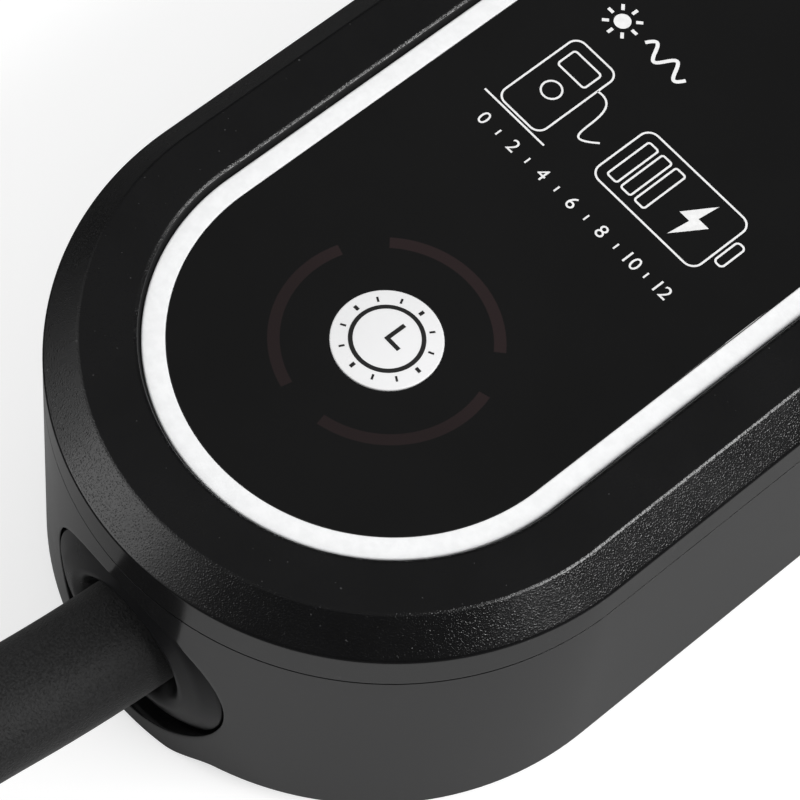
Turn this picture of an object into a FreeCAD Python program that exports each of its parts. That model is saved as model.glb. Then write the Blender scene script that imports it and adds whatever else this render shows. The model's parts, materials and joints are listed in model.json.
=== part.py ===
import FreeCAD, Part
import math
import os

# Portable charging box for an electric car, with its charging lead and vehicle connector.
# Millimetres. The origin is at the middle of the box's underside, +Z is up, the box is long along Y,
# and the charging lead leaves the round end at -Y.

# Box: a case with straight sides and round ends
case_radius = 45.5  # half the width, and the radius of the round ends in plan
end_spacing = 117.0  # between the axes of the two round ends
wall = 3.0
floor_thickness = 3.0
foot_bevel = 3.2  # bevel round the lower edge
seam_height = 42.3  # where the bezel closes on the housing
seam_bevel = 0.3  # half of the fine groove at the seam
case_shoulder = 48.6  # top of the upright wall, where the slope starts
rim_height = 53.4  # top of the rim, and of the box
slope_width = 4.75
rim_round = 0.6  # soft edge between slope and rim
rim_tilt = 0.1  # the rim falls outwards by this

# Light ring, panel and button
rim_flat = 8.25  # width of the rim between slope and ring
ring_width = 3.2
ring_sink = 1.1  # ring top below the rim
rim_bevel = 1.0  # width of the bevel that leads down to the ring
ring_gap = 0.15
ring_height = 4.4
ring_foot_width = 2.5  # foot of the ring under the panel
panel_thickness = 2.6
panel_gap = 0.06
button_radius = 7.64
button_gap = 0.12
button_crown = 0.35  # how far the cap's middle stands above its edge
button_lip = 1.6  # flange that keeps the cap under the panel
button_lip_thickness = 1.2
button_travel = 0.5
button_play = 0.1  # between the cap's lip and the panel, and under the stem at full travel
stem_radius = 2.5

# Indicator arcs behind the panel
arc_radius = 14.2
arc_width = 1.7
arc_span = 94.0  # degrees
arc_count = 3

# Bezel shell
bezel_skin = 2.7
bezel_wall = 3.1  # thickness of its upright wall
bezel_inner_rim = 1.1  # flat inside the slope's top
bezel_inner_drop = 0.8  # of the slope's inner foot below the shoulder
ledge_width = 2.75  # ledge under the light ring
ledge_thickness = 2.0
tongue_width = 2.3
tongue_depth = 3.0
tongue_gap = 0.3
tongue_root = 1.5  # height above the seam where the tongue's back starts to slope out
tongue_slope = 1.5  # height of that slope
seal_width = 1.3
seal_depth = 1.0
seal_gap = 0.05

# Screws of the case
case_screw_inset = 10.5  # of the outer screws from the axes of the round ends
case_screw_radius = 1.6
case_head_radius = 3.1
case_head_height = 2.4
case_head_sink = 3.4  # from the underside to the head
tower_radius = 4.4
boss_radius = 3.7
screw_gap = 0.1  # round every screw's shank
head_gap = 0.5  # round every sunk screw's head
end_room = 0.5  # beyond every screw's end
recess_reach = 0.62  # half length of a screw's cross recess, as a share of its head's radius
recess_slot = 0.15  # half width of the recess, as a share of its head's radius
recess_depth = 0.5  # as a share of the head's height
case_screw_bite = 7.0  # length in the bezel's boss

# Cable glands
cable_radius = 8.25
gland_height = 20.3  # axis of the glands above the underside
gland_opening = 17.2
gland_gap = 0.3
gland_rise = 2.7  # the mouth stands this far before the gland's rim
gland_mouth = 10.6
gland_mouth_round = 1.4
gland_funnel = 3.6  # depth over which the mouth narrows to the bore
gland_bore = 8.6
gland_rim_round = 0.9
land_gap = 0.15  # between the gland's seal and the curved wall beside the flat
gland_seal = 1.0
gland_flange_radius = 20.5
gland_flange = 2.5
gland_neck_radius = 13.5
gland_length = 16.0  # from the rim to the inner end
lobe_foot = 10.2  # under the gland the wall comes down to the floor, this far to each side
lobe_top = 14.8  # and here it meets the bevel's upper edge
lobe_round = 6.0
land_half_width = 24.0
retainer_thickness = 2.5
retainer_half_width = 21.0
retainer_top = 38.5
slide_gap = 0.15  # round the retainer
rib_thickness = 2.2
rib_inner = 16.0
rib_width = 8.5
rib_drop = 2.0  # below the retainer's top

# Cable clamps
clamp_start = 17.5  # from the gland's rim to the clamp
clamp_width = 10.0
clamp_half_length = 20.0
clamp_split = 1.0  # half of the open joint between saddle and bar
clamp_bar = 4.0  # thickness over the cable
clamp_screw_x = 14.5
clamp_screw_radius = 1.9
clamp_head_radius = 3.4
clamp_head_height = 2.6
clamp_screw_length = 19.0
stub_length = 30.0  # end of the sheath, from the gland's rim

# Main board
board_side_gap = 1.6  # to the towers
board_half_length = 50.0
board_thickness = 1.6
board_height = 12.0  # its underside
board_screw_side = 4.0  # from the board's sides
board_screw_end = 16.0  # from the board's ends
board_post_radius = 3.4
board_screw_radius = 1.2
board_head_radius = 2.4
board_head_height = 1.7
board_screw_length = 8.0

# Parts on the main board: sizes across, along and up, and the place of each one's middle
terminal_size = (24.0, 11.0, 14.0)
terminal_edge = 2.0  # from the board's end
terminal_ways = 3
terminal_entry_radius = 2.4
terminal_entry_depth = 7.0
terminal_well_radius = 2.2
terminal_well_depth = 4.2
core_radius = 1.9  # of one power core of the lead, with its insulation
core_circle = 4.2  # the three cores lie on a circle of this radius in the sheath
core_straight = 7.0
relay_size = (15.0, 28.0, 20.0)
line_relay_spot = (1.5, 16.0)
neutral_relay_spot = (18.5, 16.0)
transformer_core = (24.0, 11.0, 18.0)
transformer_winding = (17.0, 24.0, 13.0)
transformer_spot = (-15.0, -19.0)
filter_capacitor_size = (8.5, 18.0, 14.5)
filter_capacitor_spot = (-24.8, 6.0)
storage_capacitor_radius = 5.0
storage_capacitor_height = 16.0
storage_capacitor_spot = (-13.5, 6.0)
surge_disc_radius = 5.0
surge_disc_thickness = 4.0
surge_disc_lift = 0.5
surge_disc_spot = (-18.0, 17.0)
chip_size = (10.0, 4.5, 1.6)
chip_spot = (-9.0, 33.7)
ribbon_width = 13.0
ribbon_thickness = 0.8
ribbon_socket = (16.0, 5.0, 4.0)
ribbon_spot = (-21.0, 25.0)
sensor_radius = 12.5
sensor_hole = 6.5
sensor_width = 9.0
sensor_spot = (15.0, -22.5)
bar_radius = 1.3
bar_spacing = 5.2
bar_overhang = 6.0  # of the bars beyond the sensor's ring, each way

# Display board
display_margin = 0.5  # beyond the light ring
display_thickness = 1.6
display_ear_radius = 3.0
display_ear_angle = 45.0
display_screw_radius = 0.9
display_head_radius = 1.8
display_head_height = 1.3
display_screw_length = 5.6
led_length = 2.8
led_width = 1.4
led_height = 0.9
ring_led_pitch = 13.0
switch_side = 6.0
switch_height = 1.5
plunger_radius = 1.7
plunger_height = 1.1
plunger_gap = 0.06
guide_margin = 0.8  # base ring of the indicator light guide beside its arcs
guide_base = 1.0

# Charging lead: its route, chosen by hand, from its end in the gland's bore to the coil
lead_inside = 14.7  # length of the lead inside the gland's rim
lead_route = [
    (0.0, -105.0, gland_height),
    (-4.9, -140.0, gland_height),
    (-8.9, -177.0, cable_radius),
    (-12.0, -213.0, cable_radius),
    (-12.0, -250.0, cable_radius),
]
# Coil of the rest of the lead
coil_turns_wide = 4
coil_layers = 2
coil_inner_turn = 70.5  # radius of the smallest turn's middle line
coil_notch = 0.5  # room round the lead where it runs into the coil and out of it
# Tie round the coil, opposite the box
tie_width = 16.0
tie_thickness = 1.2
tie_squeeze = 0.3  # the tie presses this far into the coil's sides
tie_slack = 0.8  # over the coil
tie_tab = 30.0  # length of the end that is pressed down on top
tie_gap = 0.1
# Where the lead leaves the coil: outwards and along, from the tangent point, on the upper layer
coil_leaving = [(0.0, 0.0), (0.0, 30.0), (1.5, 61.0)]

# Vehicle connector, lying on its side; its own +Y points out of the nose
connector_x = -218.25
connector_y = 53.0
ground_gap = 0.02
nose_radius = 28.2
nose_length = 42.0
nose_flat = 23.5  # from the axis to the flat of the nose
nose_spigot_radius = 26.5
nose_spigot = 12.0
spigot_gap = 0.1
flange_radius = 33.0
flange_thickness = 4.0
contact_pitch = 17.0
contact_row = 14.5  # between the rows
contact_hole = 4.7
pilot_hole = 3.0
contact_wall = 1.2
contact_gap = 0.1
contact_length = 26.0
contact_floor = 6.0  # solid rear end of a contact
contact_sink = 9.0  # behind the nose's face
cap_wall = 2.6
cap_gap = 0.3
cap_end = 3.0
cap_round = 3.0
cap_rib_count = 20
cap_rib_depth = 0.8
cap_rib_width = 2.4
cap_rib_length = 24.0
shell_wall = 2.8
boot_length = 38.0
boot_thick = 14.2
boot_thin = 10.2
boot_plug = 12.6  # radius of the boot's end inside the handle
boot_end_round = 0.8
boot_seat = 6.0  # length of the boot inside the handle
boot_gap = 0.12
boot_groove_count = 5
boot_groove_width = 2.4
boot_groove_depth = 1.6
boot_groove_start = 7.0
boot_groove_end = 3.0  # from the last groove to the boot's end
boot_bore_depth = 24.0
boot_lead = 28.0  # from the boot's end to the first bend of the lead
grip_screw_radius = 1.5
grip_head_radius = 2.8
grip_head_height = 2.2
grip_head_gap = 0.25
grip_boss_radius = 4.6
grip_seat = 11.0  # height of the screw heads' seats above the split
grip_screw_length = 19.0

half_spacing = end_spacing / 2
ring_radius = case_radius - slope_width - rim_flat
ring_top = rim_height - ring_sink
ring_bottom = ring_top - ring_height
panel_bottom = ring_top - panel_thickness
display_top = ring_bottom - ledge_thickness
display_radius = ring_radius + display_margin
plunger_stand = button_travel + button_play
switch_top = display_top + switch_height
tower_top = seam_height - tongue_depth - tongue_gap
case_screw_x = case_radius - wall - tongue_gap - boss_radius
board_half_width = case_screw_x - tower_radius - board_side_gap
board_top = board_height + board_thickness
terminal_middle = board_top + terminal_size[2] / 2
gland_rim_reach = math.sqrt(case_radius**2 - (gland_opening - gland_gap) ** 2)
gland_rim_y = half_spacing + gland_rim_reach
inner_wall_reach = math.sqrt((case_radius - wall) ** 2 - gland_flange_radius**2)
gland_land = gland_rim_reach - inner_wall_reach + land_gap  # from the gland's rim to the flat inside the wall
lead_in = [(0.0, lead_inside - gland_rim_y, gland_height)] + lead_route
coil_outer_turn = coil_inner_turn + (coil_turns_wide - 1) * 2 * cable_radius
coil_drift = cable_radius / 2  # the lead runs in and out this far outside the outer turn
coil_x = lead_in[-1][0] - coil_drift - coil_outer_turn
coil_y = lead_in[-1][1]

parts = {}


def vec(x, y, z):
    return FreeCAD.Vector(x, y, z)


def cylinder(radius, length, x, y, z, direction=(0, 0, 1)):
    """Solid round bar from a point along a direction."""
    return Part.makeCylinder(radius, length, vec(x, y, z), vec(*direction))


def block(x0, x1, y0, y1, z0, z1):
    return Part.makeBox(x1 - x0, y1 - y0, z1 - z0, vec(x0, y0, z0))


def rounded_outline(points):
    """Closed outline in the XZ plane from (r, z) or (r, z, corner radius), corners as tangent arcs."""
    edges = []
    corners = []
    count = len(points)
    for k, point in enumerate(points):
        here = vec(point[0], 0, point[1])
        radius = point[2] if len(point) > 2 else 0
        if radius == 0:
            corners.append((here, here, here))
            continue
        before = vec(points[k - 1][0], 0, points[k - 1][1]) - here
        after = vec(points[(k + 1) % count][0], 0, points[(k + 1) % count][1]) - here
        before.normalize()
        after.normalize()
        half_angle = before.getAngle(after) / 2
        reach = radius / math.tan(half_angle)
        bisector = before + after
        bisector.normalize()
        middle = here + bisector * (radius / math.sin(half_angle) - radius)
        corners.append((here + before * reach, middle, here + after * reach))
    for k, (start, middle, end) in enumerate(corners):
        if start.distanceToPoint(end) > 1e-6:
            edges.append(Part.Arc(start, middle, end).toShape())
        following = corners[(k + 1) % count][0]
        if end.distanceToPoint(following) > 1e-6:
            edges.append(Part.LineSegment(end, following).toShape())
    return Part.Face(Part.Wire(edges))


def round_case(points):
    """A profile of (distance from the middle line, height) carried once round the case's plan."""
    near = rounded_outline(points)
    near.translate(vec(0, -half_spacing, 0))
    near_end = near.revolve(vec(0, -half_spacing, 0), vec(0, 0, -1), 180)
    right_side = near.extrude(vec(0, end_spacing, 0))
    far_end = near_end.mirror(vec(0, 0, 0), vec(0, 1, 0))
    left_side = right_side.mirror(vec(0, 0, 0), vec(1, 0, 0))
    return near_end.multiFuse([right_side, far_end, left_side]).removeSplitter()


def plate(radius, z0, z1):
    """Flat plate with the case's plan, to a given distance from the middle line."""
    middle = block(-radius, radius, -half_spacing, half_spacing, z0, z1)
    ends = [cylinder(radius, z1 - z0, 0, side * half_spacing, z0) for side in (-1, 1)]
    return middle.multiFuse(ends).removeSplitter()


def turned(points, axis_point, axis):
    """A profile of (radius, distance along the axis) turned into a round solid."""
    solid = rounded_outline(points).revolve(vec(0, 0, 0), vec(0, 0, 1), 360)
    placement = FreeCAD.Placement(axis_point, FreeCAD.Rotation(vec(0, 0, 1), axis))
    solid.Placement = placement.multiply(solid.Placement)
    return solid


def both_ends(shape):
    """A piece of the near end and its mirror image at the far end."""
    return shape, shape.mirror(vec(0, 0, 0), vec(0, 1, 0))


def spots(x, ys):
    return [(side * x, y) for side in (-1, 1) for y in ys]


def screw(head_radius, head_height, shank_radius, length, x, y, z, up=True):
    """Screw with its head's seat at z and its shank pointing up or down, with a cross recess."""
    sign = 1 if up else -1
    head = cylinder(head_radius, head_height, x, y, z, (0, 0, -sign))
    shank = cylinder(shank_radius, length, x, y, z, (0, 0, sign))
    top = z - sign * head_height
    depth = head_height * recess_depth
    low = min(top, top + sign * depth)
    reach = head_radius * recess_reach
    slot = head_radius * recess_slot
    arms = [
        block(x - half_x, x + half_x, y - half_y, y + half_y, low, low + depth)
        for half_x, half_y in ((reach, slot), (slot, reach))
    ]
    return head.fuse(shank).cut(arms[0].fuse(arms[1]))


def lead_path(points):
    """Straight runs joined by tangent arcs, each as large as its two runs allow."""
    spots_on_path = [vec(*point) for point in points]
    edges = []
    radii = []
    start = spots_on_path[0]
    for k in range(1, len(spots_on_path) - 1):
        corner = spots_on_path[k]
        back = spots_on_path[k - 1] - corner
        ahead = spots_on_path[k + 1] - corner
        reach = 0.45 * min(back.Length, ahead.Length)
        back.normalize()
        ahead.normalize()
        half_turn = (math.pi - back.getAngle(ahead)) / 2
        radius = reach / math.tan(half_turn)
        radii.append(radius)
        bisector = back + ahead
        bisector.normalize()
        entry = corner + back * reach
        leave = corner + ahead * reach
        middle = corner + bisector * (radius / math.cos(half_turn) - radius)
        edges.append(Part.LineSegment(start, entry).toShape())
        edges.append(Part.Arc(entry, middle, leave).toShape())
        start = leave
    edges.append(Part.LineSegment(start, spots_on_path[-1]).toShape())
    return Part.Wire(edges), radii


def tube_along(points, radius, label=None):
    """Round solid along a path of runs and tangent arcs."""
    path, radii = lead_path(points)
    start = vec(*points[0])
    towards = vec(*points[1]) - start
    ring = Part.Wire(Part.makeCircle(radius, start, towards))
    solid = path.makePipeShell([ring], True, True)
    if label:
        expected = math.pi * radius**2 * path.Length
        print(label, "length", round(path.Length, 1), "radii", [round(r) for r in radii])
        print(label, "volume ratio", round(solid.Volume / expected, 5))
    return solid


def lower_housing():
    """Tub with bevelled lower edge, gland openings, lands, ribs, clamp saddles, towers and posts."""
    outer = round_case(
        [
            (0, 0),
            (case_radius - foot_bevel, 0),
            (case_radius, foot_bevel),
            (case_radius, seam_height - seam_bevel),
            (case_radius - seam_bevel, seam_height),
            (0, seam_height),
        ]
    )
    outer = outer.fuse(foot_lobes())
    reach = half_spacing + case_radius
    inner_radius = case_radius - wall
    cavity = plate(inner_radius, floor_thickness, seam_height + 1)
    land_y = gland_rim_y - gland_land
    land_top = seam_height - tongue_depth - tongue_gap
    lands = block(-land_half_width, land_half_width, land_y, reach, floor_thickness, land_top)
    for land in both_ends(lands):
        cavity = cavity.cut(land)
    tub = outer.cut(cavity)
    opening = cylinder(gland_opening, 2 * reach, 0, -reach, gland_height, (0, 1, 0))
    keep_out = plate(case_radius + 1, -1, seam_height + 1).cut(
        block(-case_radius, case_radius, -land_y, land_y, -1, seam_height + 1)
    )
    tub = tub.cut(opening.common(keep_out))

    inside = []
    rib_y = gland_rim_y - rib_start()
    for side in (-1, 1):
        x0, x1 = sorted((side * rib_inner, side * (rib_inner + rib_width)))
        rib = block(x0, x1, rib_y - rib_thickness, rib_y, floor_thickness, retainer_top - rib_drop)
        inside.extend(both_ends(rib))
    saddle_y = gland_rim_y - clamp_start
    saddle = block(
        -clamp_half_length,
        clamp_half_length,
        saddle_y - clamp_width,
        saddle_y,
        floor_thickness,
        gland_height - clamp_split,
    )
    groove = cylinder(cable_radius, clamp_width, 0, saddle_y - clamp_width, gland_height, (0, 1, 0))
    saddle = saddle.cut(groove)
    for x in (-clamp_screw_x, clamp_screw_x):
        hole_depth = clamp_screw_length - clamp_bar_height() - clamp_split + end_room
        hole = cylinder(
            clamp_screw_radius + screw_gap,
            hole_depth,
            x,
            saddle_y - clamp_width / 2,
            gland_height - clamp_split,
            (0, 0, -1),
        )
        saddle = saddle.cut(hole)
    inside.extend(both_ends(saddle))
    for x, y in board_screw_spots():
        post = cylinder(board_post_radius, board_height - floor_thickness, x, y, floor_thickness)
        hole_depth = board_screw_length - board_thickness + end_room
        hole = cylinder(board_screw_radius + screw_gap, hole_depth, x, y, board_height, (0, 0, -1))
        inside.append(post.cut(hole))
    for x, y in case_screw_spots():
        inside.append(cylinder(tower_radius, tower_top - floor_thickness, x, y, floor_thickness))
    tub = tub.multiFuse(inside)
    for x, y in case_screw_spots():
        shank = cylinder(case_screw_radius + screw_gap, tower_top, x, y, 0)
        sink = cylinder(case_head_radius + head_gap, case_head_sink + case_head_height, x, y, 0)
        tub = tub.cut(shank.fuse(sink))
    groove = round_case(
        [
            (seal_middle() - seal_width / 2, seam_height - seal_depth),
            (seal_middle() + seal_width / 2, seam_height - seal_depth),
            (seal_middle() + seal_width / 2, seam_height + 1),
            (seal_middle() - seal_width / 2, seam_height + 1),
        ]
    )
    return tub.cut(groove)


def foot_lobes():
    """Corner under each gland where the wall runs down past the bevel, with a smooth way over to it."""
    above = foot_bevel + 1
    outline = rounded_outline(
        [
            (-lobe_foot, 0, lobe_round),
            (lobe_foot, 0, lobe_round),
            (lobe_top, foot_bevel, lobe_round),
            (case_radius, foot_bevel),
            (case_radius, above),
            (-case_radius, above),
            (-case_radius, foot_bevel),
            (-lobe_top, foot_bevel, lobe_round),
        ]
    )
    reach = half_spacing + case_radius
    lobe = outline.extrude(vec(0, 2 * reach, 0))
    lobe.translate(vec(0, -reach, 0))
    return plate(case_radius, 0, above).common(lobe)


def seal_middle():
    return case_radius - wall / 2


def rib_start():
    return gland_land + gland_seal + gland_flange + retainer_thickness + 2 * slide_gap


def clamp_bar_height():
    return cable_radius + clamp_bar - clamp_split


def case_screw_spots():
    y = half_spacing - case_screw_inset
    return spots(case_screw_x, (-y, 0, y))


def board_screw_spots():
    y = board_half_length - board_screw_end
    return spots(board_half_width - board_screw_side, (-y, y))


def display_screw_spots():
    angle = math.radians(display_ear_angle)
    reach = ring_radius + ring_gap + bezel_skin / 2
    x = reach * math.cos(angle)
    y = half_spacing + reach * math.sin(angle)
    return spots(x, (-y, y))


def housing_screws():
    """Screws driven from the underside through the towers into the bezel's bosses."""
    seat = case_head_sink + case_head_height
    sizes = (case_head_radius, case_head_height, case_screw_radius, tower_top + case_screw_bite - seat)
    return Part.makeCompound([screw(*sizes, x, y, seat) for x, y in case_screw_spots()])


def display_screws():
    seat = display_top - display_thickness
    sizes = (display_head_radius, display_head_height, display_screw_radius, display_screw_length)
    return Part.makeCompound([screw(*sizes, x, y, seat) for x, y in display_screw_spots()])


def top_bezel():
    """Rim shell with slope, ring ledge and tongue, carried round the case, and its screw bosses."""
    rim_outer = case_radius - slope_width
    seat = ring_radius + ring_gap
    ring_wall = seat + bezel_skin
    outer_wall = case_radius - bezel_wall
    under_rim = rim_height - bezel_skin
    tongue_outer = case_radius - wall - tongue_gap
    tongue_inner = tongue_outer - tongue_width
    bevel_drop = rim_bevel - ring_gap
    shell = round_case(
        [
            (case_radius - seam_bevel, seam_height),
            (case_radius, seam_height + seam_bevel),
            (case_radius, case_shoulder),
            (rim_outer, rim_height - rim_tilt, rim_round),
            (ring_radius + rim_bevel, rim_height),
            (seat, rim_height - bevel_drop),
            (seat, ring_bottom),
            (seat - ledge_width, ring_bottom),
            (seat - ledge_width, display_top),
            (ring_wall, display_top),
            (ring_wall, under_rim),
            (rim_outer - bezel_inner_rim, under_rim),
            (outer_wall, case_shoulder - bezel_inner_drop),
            (outer_wall, seam_height + tongue_root + tongue_slope),
            (tongue_inner, seam_height + tongue_root),
            (tongue_inner, seam_height - tongue_depth),
            (tongue_outer, seam_height - tongue_depth),
            (tongue_outer, seam_height),
        ]
    )
    boss_height = under_rim + bezel_skin / 5 - tower_top
    bosses = [cylinder(boss_radius, boss_height, x, y, tower_top) for x, y in case_screw_spots()]
    shell = shell.multiFuse(bosses)
    for x, y in case_screw_spots():
        hole = cylinder(case_screw_radius + screw_gap, case_screw_bite + end_room, x, y, tower_top)
        shell = shell.cut(hole)
    for x, y in display_screw_spots():
        depth = display_screw_length - display_thickness + end_room
        shell = shell.cut(cylinder(display_screw_radius + screw_gap, depth, x, y, display_top))
    return shell


def light_ring():
    """Light guide of the ring, with the foot that carries the panel."""
    inner = ring_radius - ring_width
    return round_case(
        [
            (ring_radius, ring_bottom),
            (ring_radius, ring_top, 0.25),
            (inner, ring_top, 0.15),
            (inner, panel_bottom),
            (inner - ring_foot_width, panel_bottom),
            (inner - ring_foot_width, ring_bottom),
        ]
    )


def button_y():
    return -half_spacing


def front_panel():
    """Gloss window with the button's hole."""
    window = plate(ring_radius - ring_width - panel_gap, panel_bottom, ring_top)
    hole = cylinder(button_radius + button_gap, panel_thickness + 2, 0, button_y(), panel_bottom - 1)
    return window.cut(hole)


def button_cap():
    """Crowned cap with a lip under the panel and a stem down to the switch."""
    crown_radius = (button_radius**2 + button_crown**2) / (2 * button_crown)
    lip_top = panel_bottom - button_play
    lip_bottom = lip_top - button_lip_thickness
    edge = ring_top + button_play
    cap = cylinder(button_radius, edge + button_crown - lip_top, 0, button_y(), lip_top)
    dome = Part.makeSphere(crown_radius, vec(0, button_y(), edge + button_crown - crown_radius))
    cap = cap.common(dome)
    lip = cylinder(button_radius + button_lip, button_lip_thickness, 0, button_y(), lip_bottom)
    stem_bottom = switch_top + plunger_stand
    stem = cylinder(stem_radius, lip_bottom - stem_bottom, 0, button_y(), stem_bottom)
    return cap.fuse(lip).fuse(stem)


def arc_sector(inner, outer, z0, z1, middle_angle, span):
    """Part of a flat ring round the button's axis."""
    start = math.radians(middle_angle - span / 2)
    end = math.radians(middle_angle + span / 2)
    mid = (start + end) / 2

    def at(radius, angle):
        return vec(radius * math.cos(angle), button_y() + radius * math.sin(angle), z0)

    edges = [
        Part.Arc(at(outer, start), at(outer, mid), at(outer, end)).toShape(),
        Part.LineSegment(at(outer, end), at(inner, end)).toShape(),
        Part.Arc(at(inner, end), at(inner, mid), at(inner, start)).toShape(),
        Part.LineSegment(at(inner, start), at(outer, start)).toShape(),
    ]
    return Part.Face(Part.Wire(edges)).extrude(vec(0, 0, z1 - z0))


def arc_angles():
    return [90 + k * 360 / arc_count for k in range(arc_count)]


def indicator_guide():
    """Light guide of the three indicator arcs, on one base ring."""
    base_bottom = display_top + led_height + 0.1
    base_top = base_bottom + guide_base
    outer = arc_radius + arc_width
    guide = cylinder(outer + guide_margin, guide_base, 0, button_y(), base_bottom)
    guide = guide.cut(cylinder(arc_radius - guide_margin, guide_base, 0, button_y(), base_bottom))
    arcs = [arc_sector(arc_radius, outer, base_top, panel_bottom, angle, arc_span) for angle in arc_angles()]
    return guide.multiFuse(arcs)


def display_board():
    """Board of the lights and the switch, screwed up under the bezel's ledge."""
    board = plate(display_radius, display_top - display_thickness, display_top)
    ears = [
        cylinder(display_ear_radius, display_thickness, x, y, display_top - display_thickness)
        for x, y in display_screw_spots()
    ]
    board = board.multiFuse(ears)
    bottom = display_top - display_thickness
    for x, y in display_screw_spots():
        board = board.cut(cylinder(display_screw_radius + screw_gap, display_thickness, x, y, bottom))
    return board


def led(x, y, angle):
    """One light on the display board, turned in plan."""
    body = block(-led_width / 2, led_width / 2, -led_length / 2, led_length / 2, 0, led_height)
    body.Placement = FreeCAD.Placement(vec(x, y, display_top), FreeCAD.Rotation(vec(0, 0, 1), angle))
    return body


def ring_leds():
    """Lights under the ring's foot, at even steps along the straight sides and round the ends."""
    radius = ring_radius - ring_width - ring_foot_width / 2
    leds = []
    side_count = int(end_spacing / ring_led_pitch)
    for k in range(side_count):
        y = (k + 0.5 - side_count / 2) * end_spacing / side_count
        leds.extend(led(side * radius, y, 0) for side in (-1, 1))
    end_count = int(math.pi * radius / ring_led_pitch)
    for k in range(end_count):
        angle = (k + 0.5) * 180 / end_count
        x = radius * math.cos(math.radians(angle))
        reach = half_spacing + radius * math.sin(math.radians(angle))
        leds.append(led(x, reach, angle))
        leds.append(led(x, -reach, -angle))
    return Part.makeCompound(leds)


def arc_leds():
    """Three lights under each indicator arc."""
    radius = arc_radius + arc_width / 2
    leds = []
    for middle in arc_angles():
        for offset in (-arc_span / 3, 0, arc_span / 3):
            angle = middle + offset
            x = radius * math.cos(math.radians(angle))
            y = button_y() + radius * math.sin(math.radians(angle))
            leds.append(led(x, y, angle))
    return Part.makeCompound(leds)


def push_switch():
    """Body of the push switch, with the well of its plunger."""
    half = switch_side / 2
    body = block(-half, half, button_y() - half, button_y() + half, display_top, switch_top)
    well_bottom = switch_top + plunger_stand - plunger_height - button_travel - plunger_gap
    well = cylinder(plunger_radius + plunger_gap, switch_height + 1, 0, button_y(), well_bottom)
    return body.cut(well)


def switch_plunger():
    top = switch_top + plunger_stand
    return cylinder(plunger_radius, plunger_height, 0, button_y(), top - plunger_height)


def housing_seal():
    """Soft cord in the groove under the bezel."""
    half = seal_width / 2 - seal_gap
    return round_case(
        [
            (seal_middle() - half, seam_height - seal_depth),
            (seal_middle() + half, seam_height - seal_depth),
            (seal_middle() + half, seam_height),
            (seal_middle() - half, seam_height),
        ]
    )


def flat_bottomed(shape):
    """Cuts a round gland piece flat just above the floor."""
    reach = half_spacing + case_radius
    above = block(-reach, reach, -2 * reach, 2 * reach, floor_thickness + slide_gap, 2 * reach)
    return shape.common(above)


def gland():
    """Bush that leads the cable through the wall: domed face, funnel mouth, seal seat, flange and neck."""
    rim = gland_opening - gland_gap
    flange_front = gland_land + gland_seal
    flange_back = flange_front + gland_flange
    body = turned(
        [
            (gland_mouth, -gland_rise, gland_mouth_round),
            (rim, 0, gland_rim_round),
            (rim, flange_front),
            (gland_flange_radius, flange_front),
            (gland_flange_radius, flange_back),
            (gland_neck_radius, flange_back),
            (gland_neck_radius, gland_length),
            (gland_bore, gland_length),
            (gland_bore, gland_funnel - gland_rise),
        ],
        vec(0, -gland_rim_y, gland_height),
        vec(0, 1, 0),
    )
    return flat_bottomed(body)


def gland_washer():
    """Seal between the wall's flat and the gland's flange."""
    ring = cylinder(gland_flange_radius, gland_seal, 0, gland_land - gland_rim_y, gland_height, (0, 1, 0))
    hole = cylinder(gland_opening, gland_seal, 0, gland_land - gland_rim_y, gland_height, (0, 1, 0))
    return flat_bottomed(ring.cut(hole))


def gland_retainer():
    """Fork that drops over the gland's neck and holds its flange to the wall."""
    start = gland_land + gland_seal + gland_flange + slide_gap
    y0 = start - gland_rim_y
    y1 = y0 + retainer_thickness
    z0 = floor_thickness + slide_gap
    fork = block(-retainer_half_width, retainer_half_width, y0, y1, z0, retainer_top)
    slot = gland_neck_radius + slide_gap
    fork = fork.cut(cylinder(slot, retainer_thickness, 0, y0, gland_height, (0, 1, 0)))
    return fork.cut(block(-slot, slot, y0, y1, z0, gland_height))


def clamp_bar_piece():
    """Bar that holds the cable down on the housing's saddle."""
    y1 = clamp_start + clamp_width - gland_rim_y
    y0 = y1 - clamp_width
    z0 = gland_height + clamp_split
    bar = block(-clamp_half_length, clamp_half_length, y0, y1, z0, z0 + clamp_bar_height())
    bar = bar.cut(cylinder(cable_radius, clamp_width, 0, y0, gland_height, (0, 1, 0)))
    for x in (-clamp_screw_x, clamp_screw_x):
        hole = cylinder(clamp_screw_radius + screw_gap, clamp_bar_height() + 2, x, (y0 + y1) / 2, z0 - 1)
        bar = bar.cut(hole)
    return bar


def clamp_screws():
    y = clamp_start + clamp_width / 2 - gland_rim_y
    seat = gland_height + clamp_split + clamp_bar_height()
    sizes = (clamp_head_radius, clamp_head_height, clamp_screw_radius, clamp_screw_length)
    return Part.makeCompound([screw(*sizes, x, y, seat, up=False) for x in (-clamp_screw_x, clamp_screw_x)])


def lead_stub():
    """End of the lead's sheath inside the box, held by the clamp."""
    start = lead_in[0][1]
    return cylinder(cable_radius, stub_length - gland_rim_y - start, 0, start, gland_height, (0, 1, 0))


def main_board():
    board = block(
        -board_half_width,
        board_half_width,
        -board_half_length,
        board_half_length,
        board_height,
        board_top,
    )
    for x, y in board_screw_spots():
        board = board.cut(cylinder(board_screw_radius + screw_gap, board_thickness, x, y, board_height))
    return board


def board_screws():
    sizes = (board_head_radius, board_head_height, board_screw_radius, board_screw_length)
    return Part.makeCompound([screw(*sizes, x, y, board_top, up=False) for x, y in board_screw_spots()])


def on_board(size, spot):
    """Block of a given size that stands on the main board, centred on a spot."""
    x, y = spot
    width, length, height = size
    return block(x - width / 2, x + width / 2, y - length / 2, y + length / 2, board_top, board_top + height)


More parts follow.
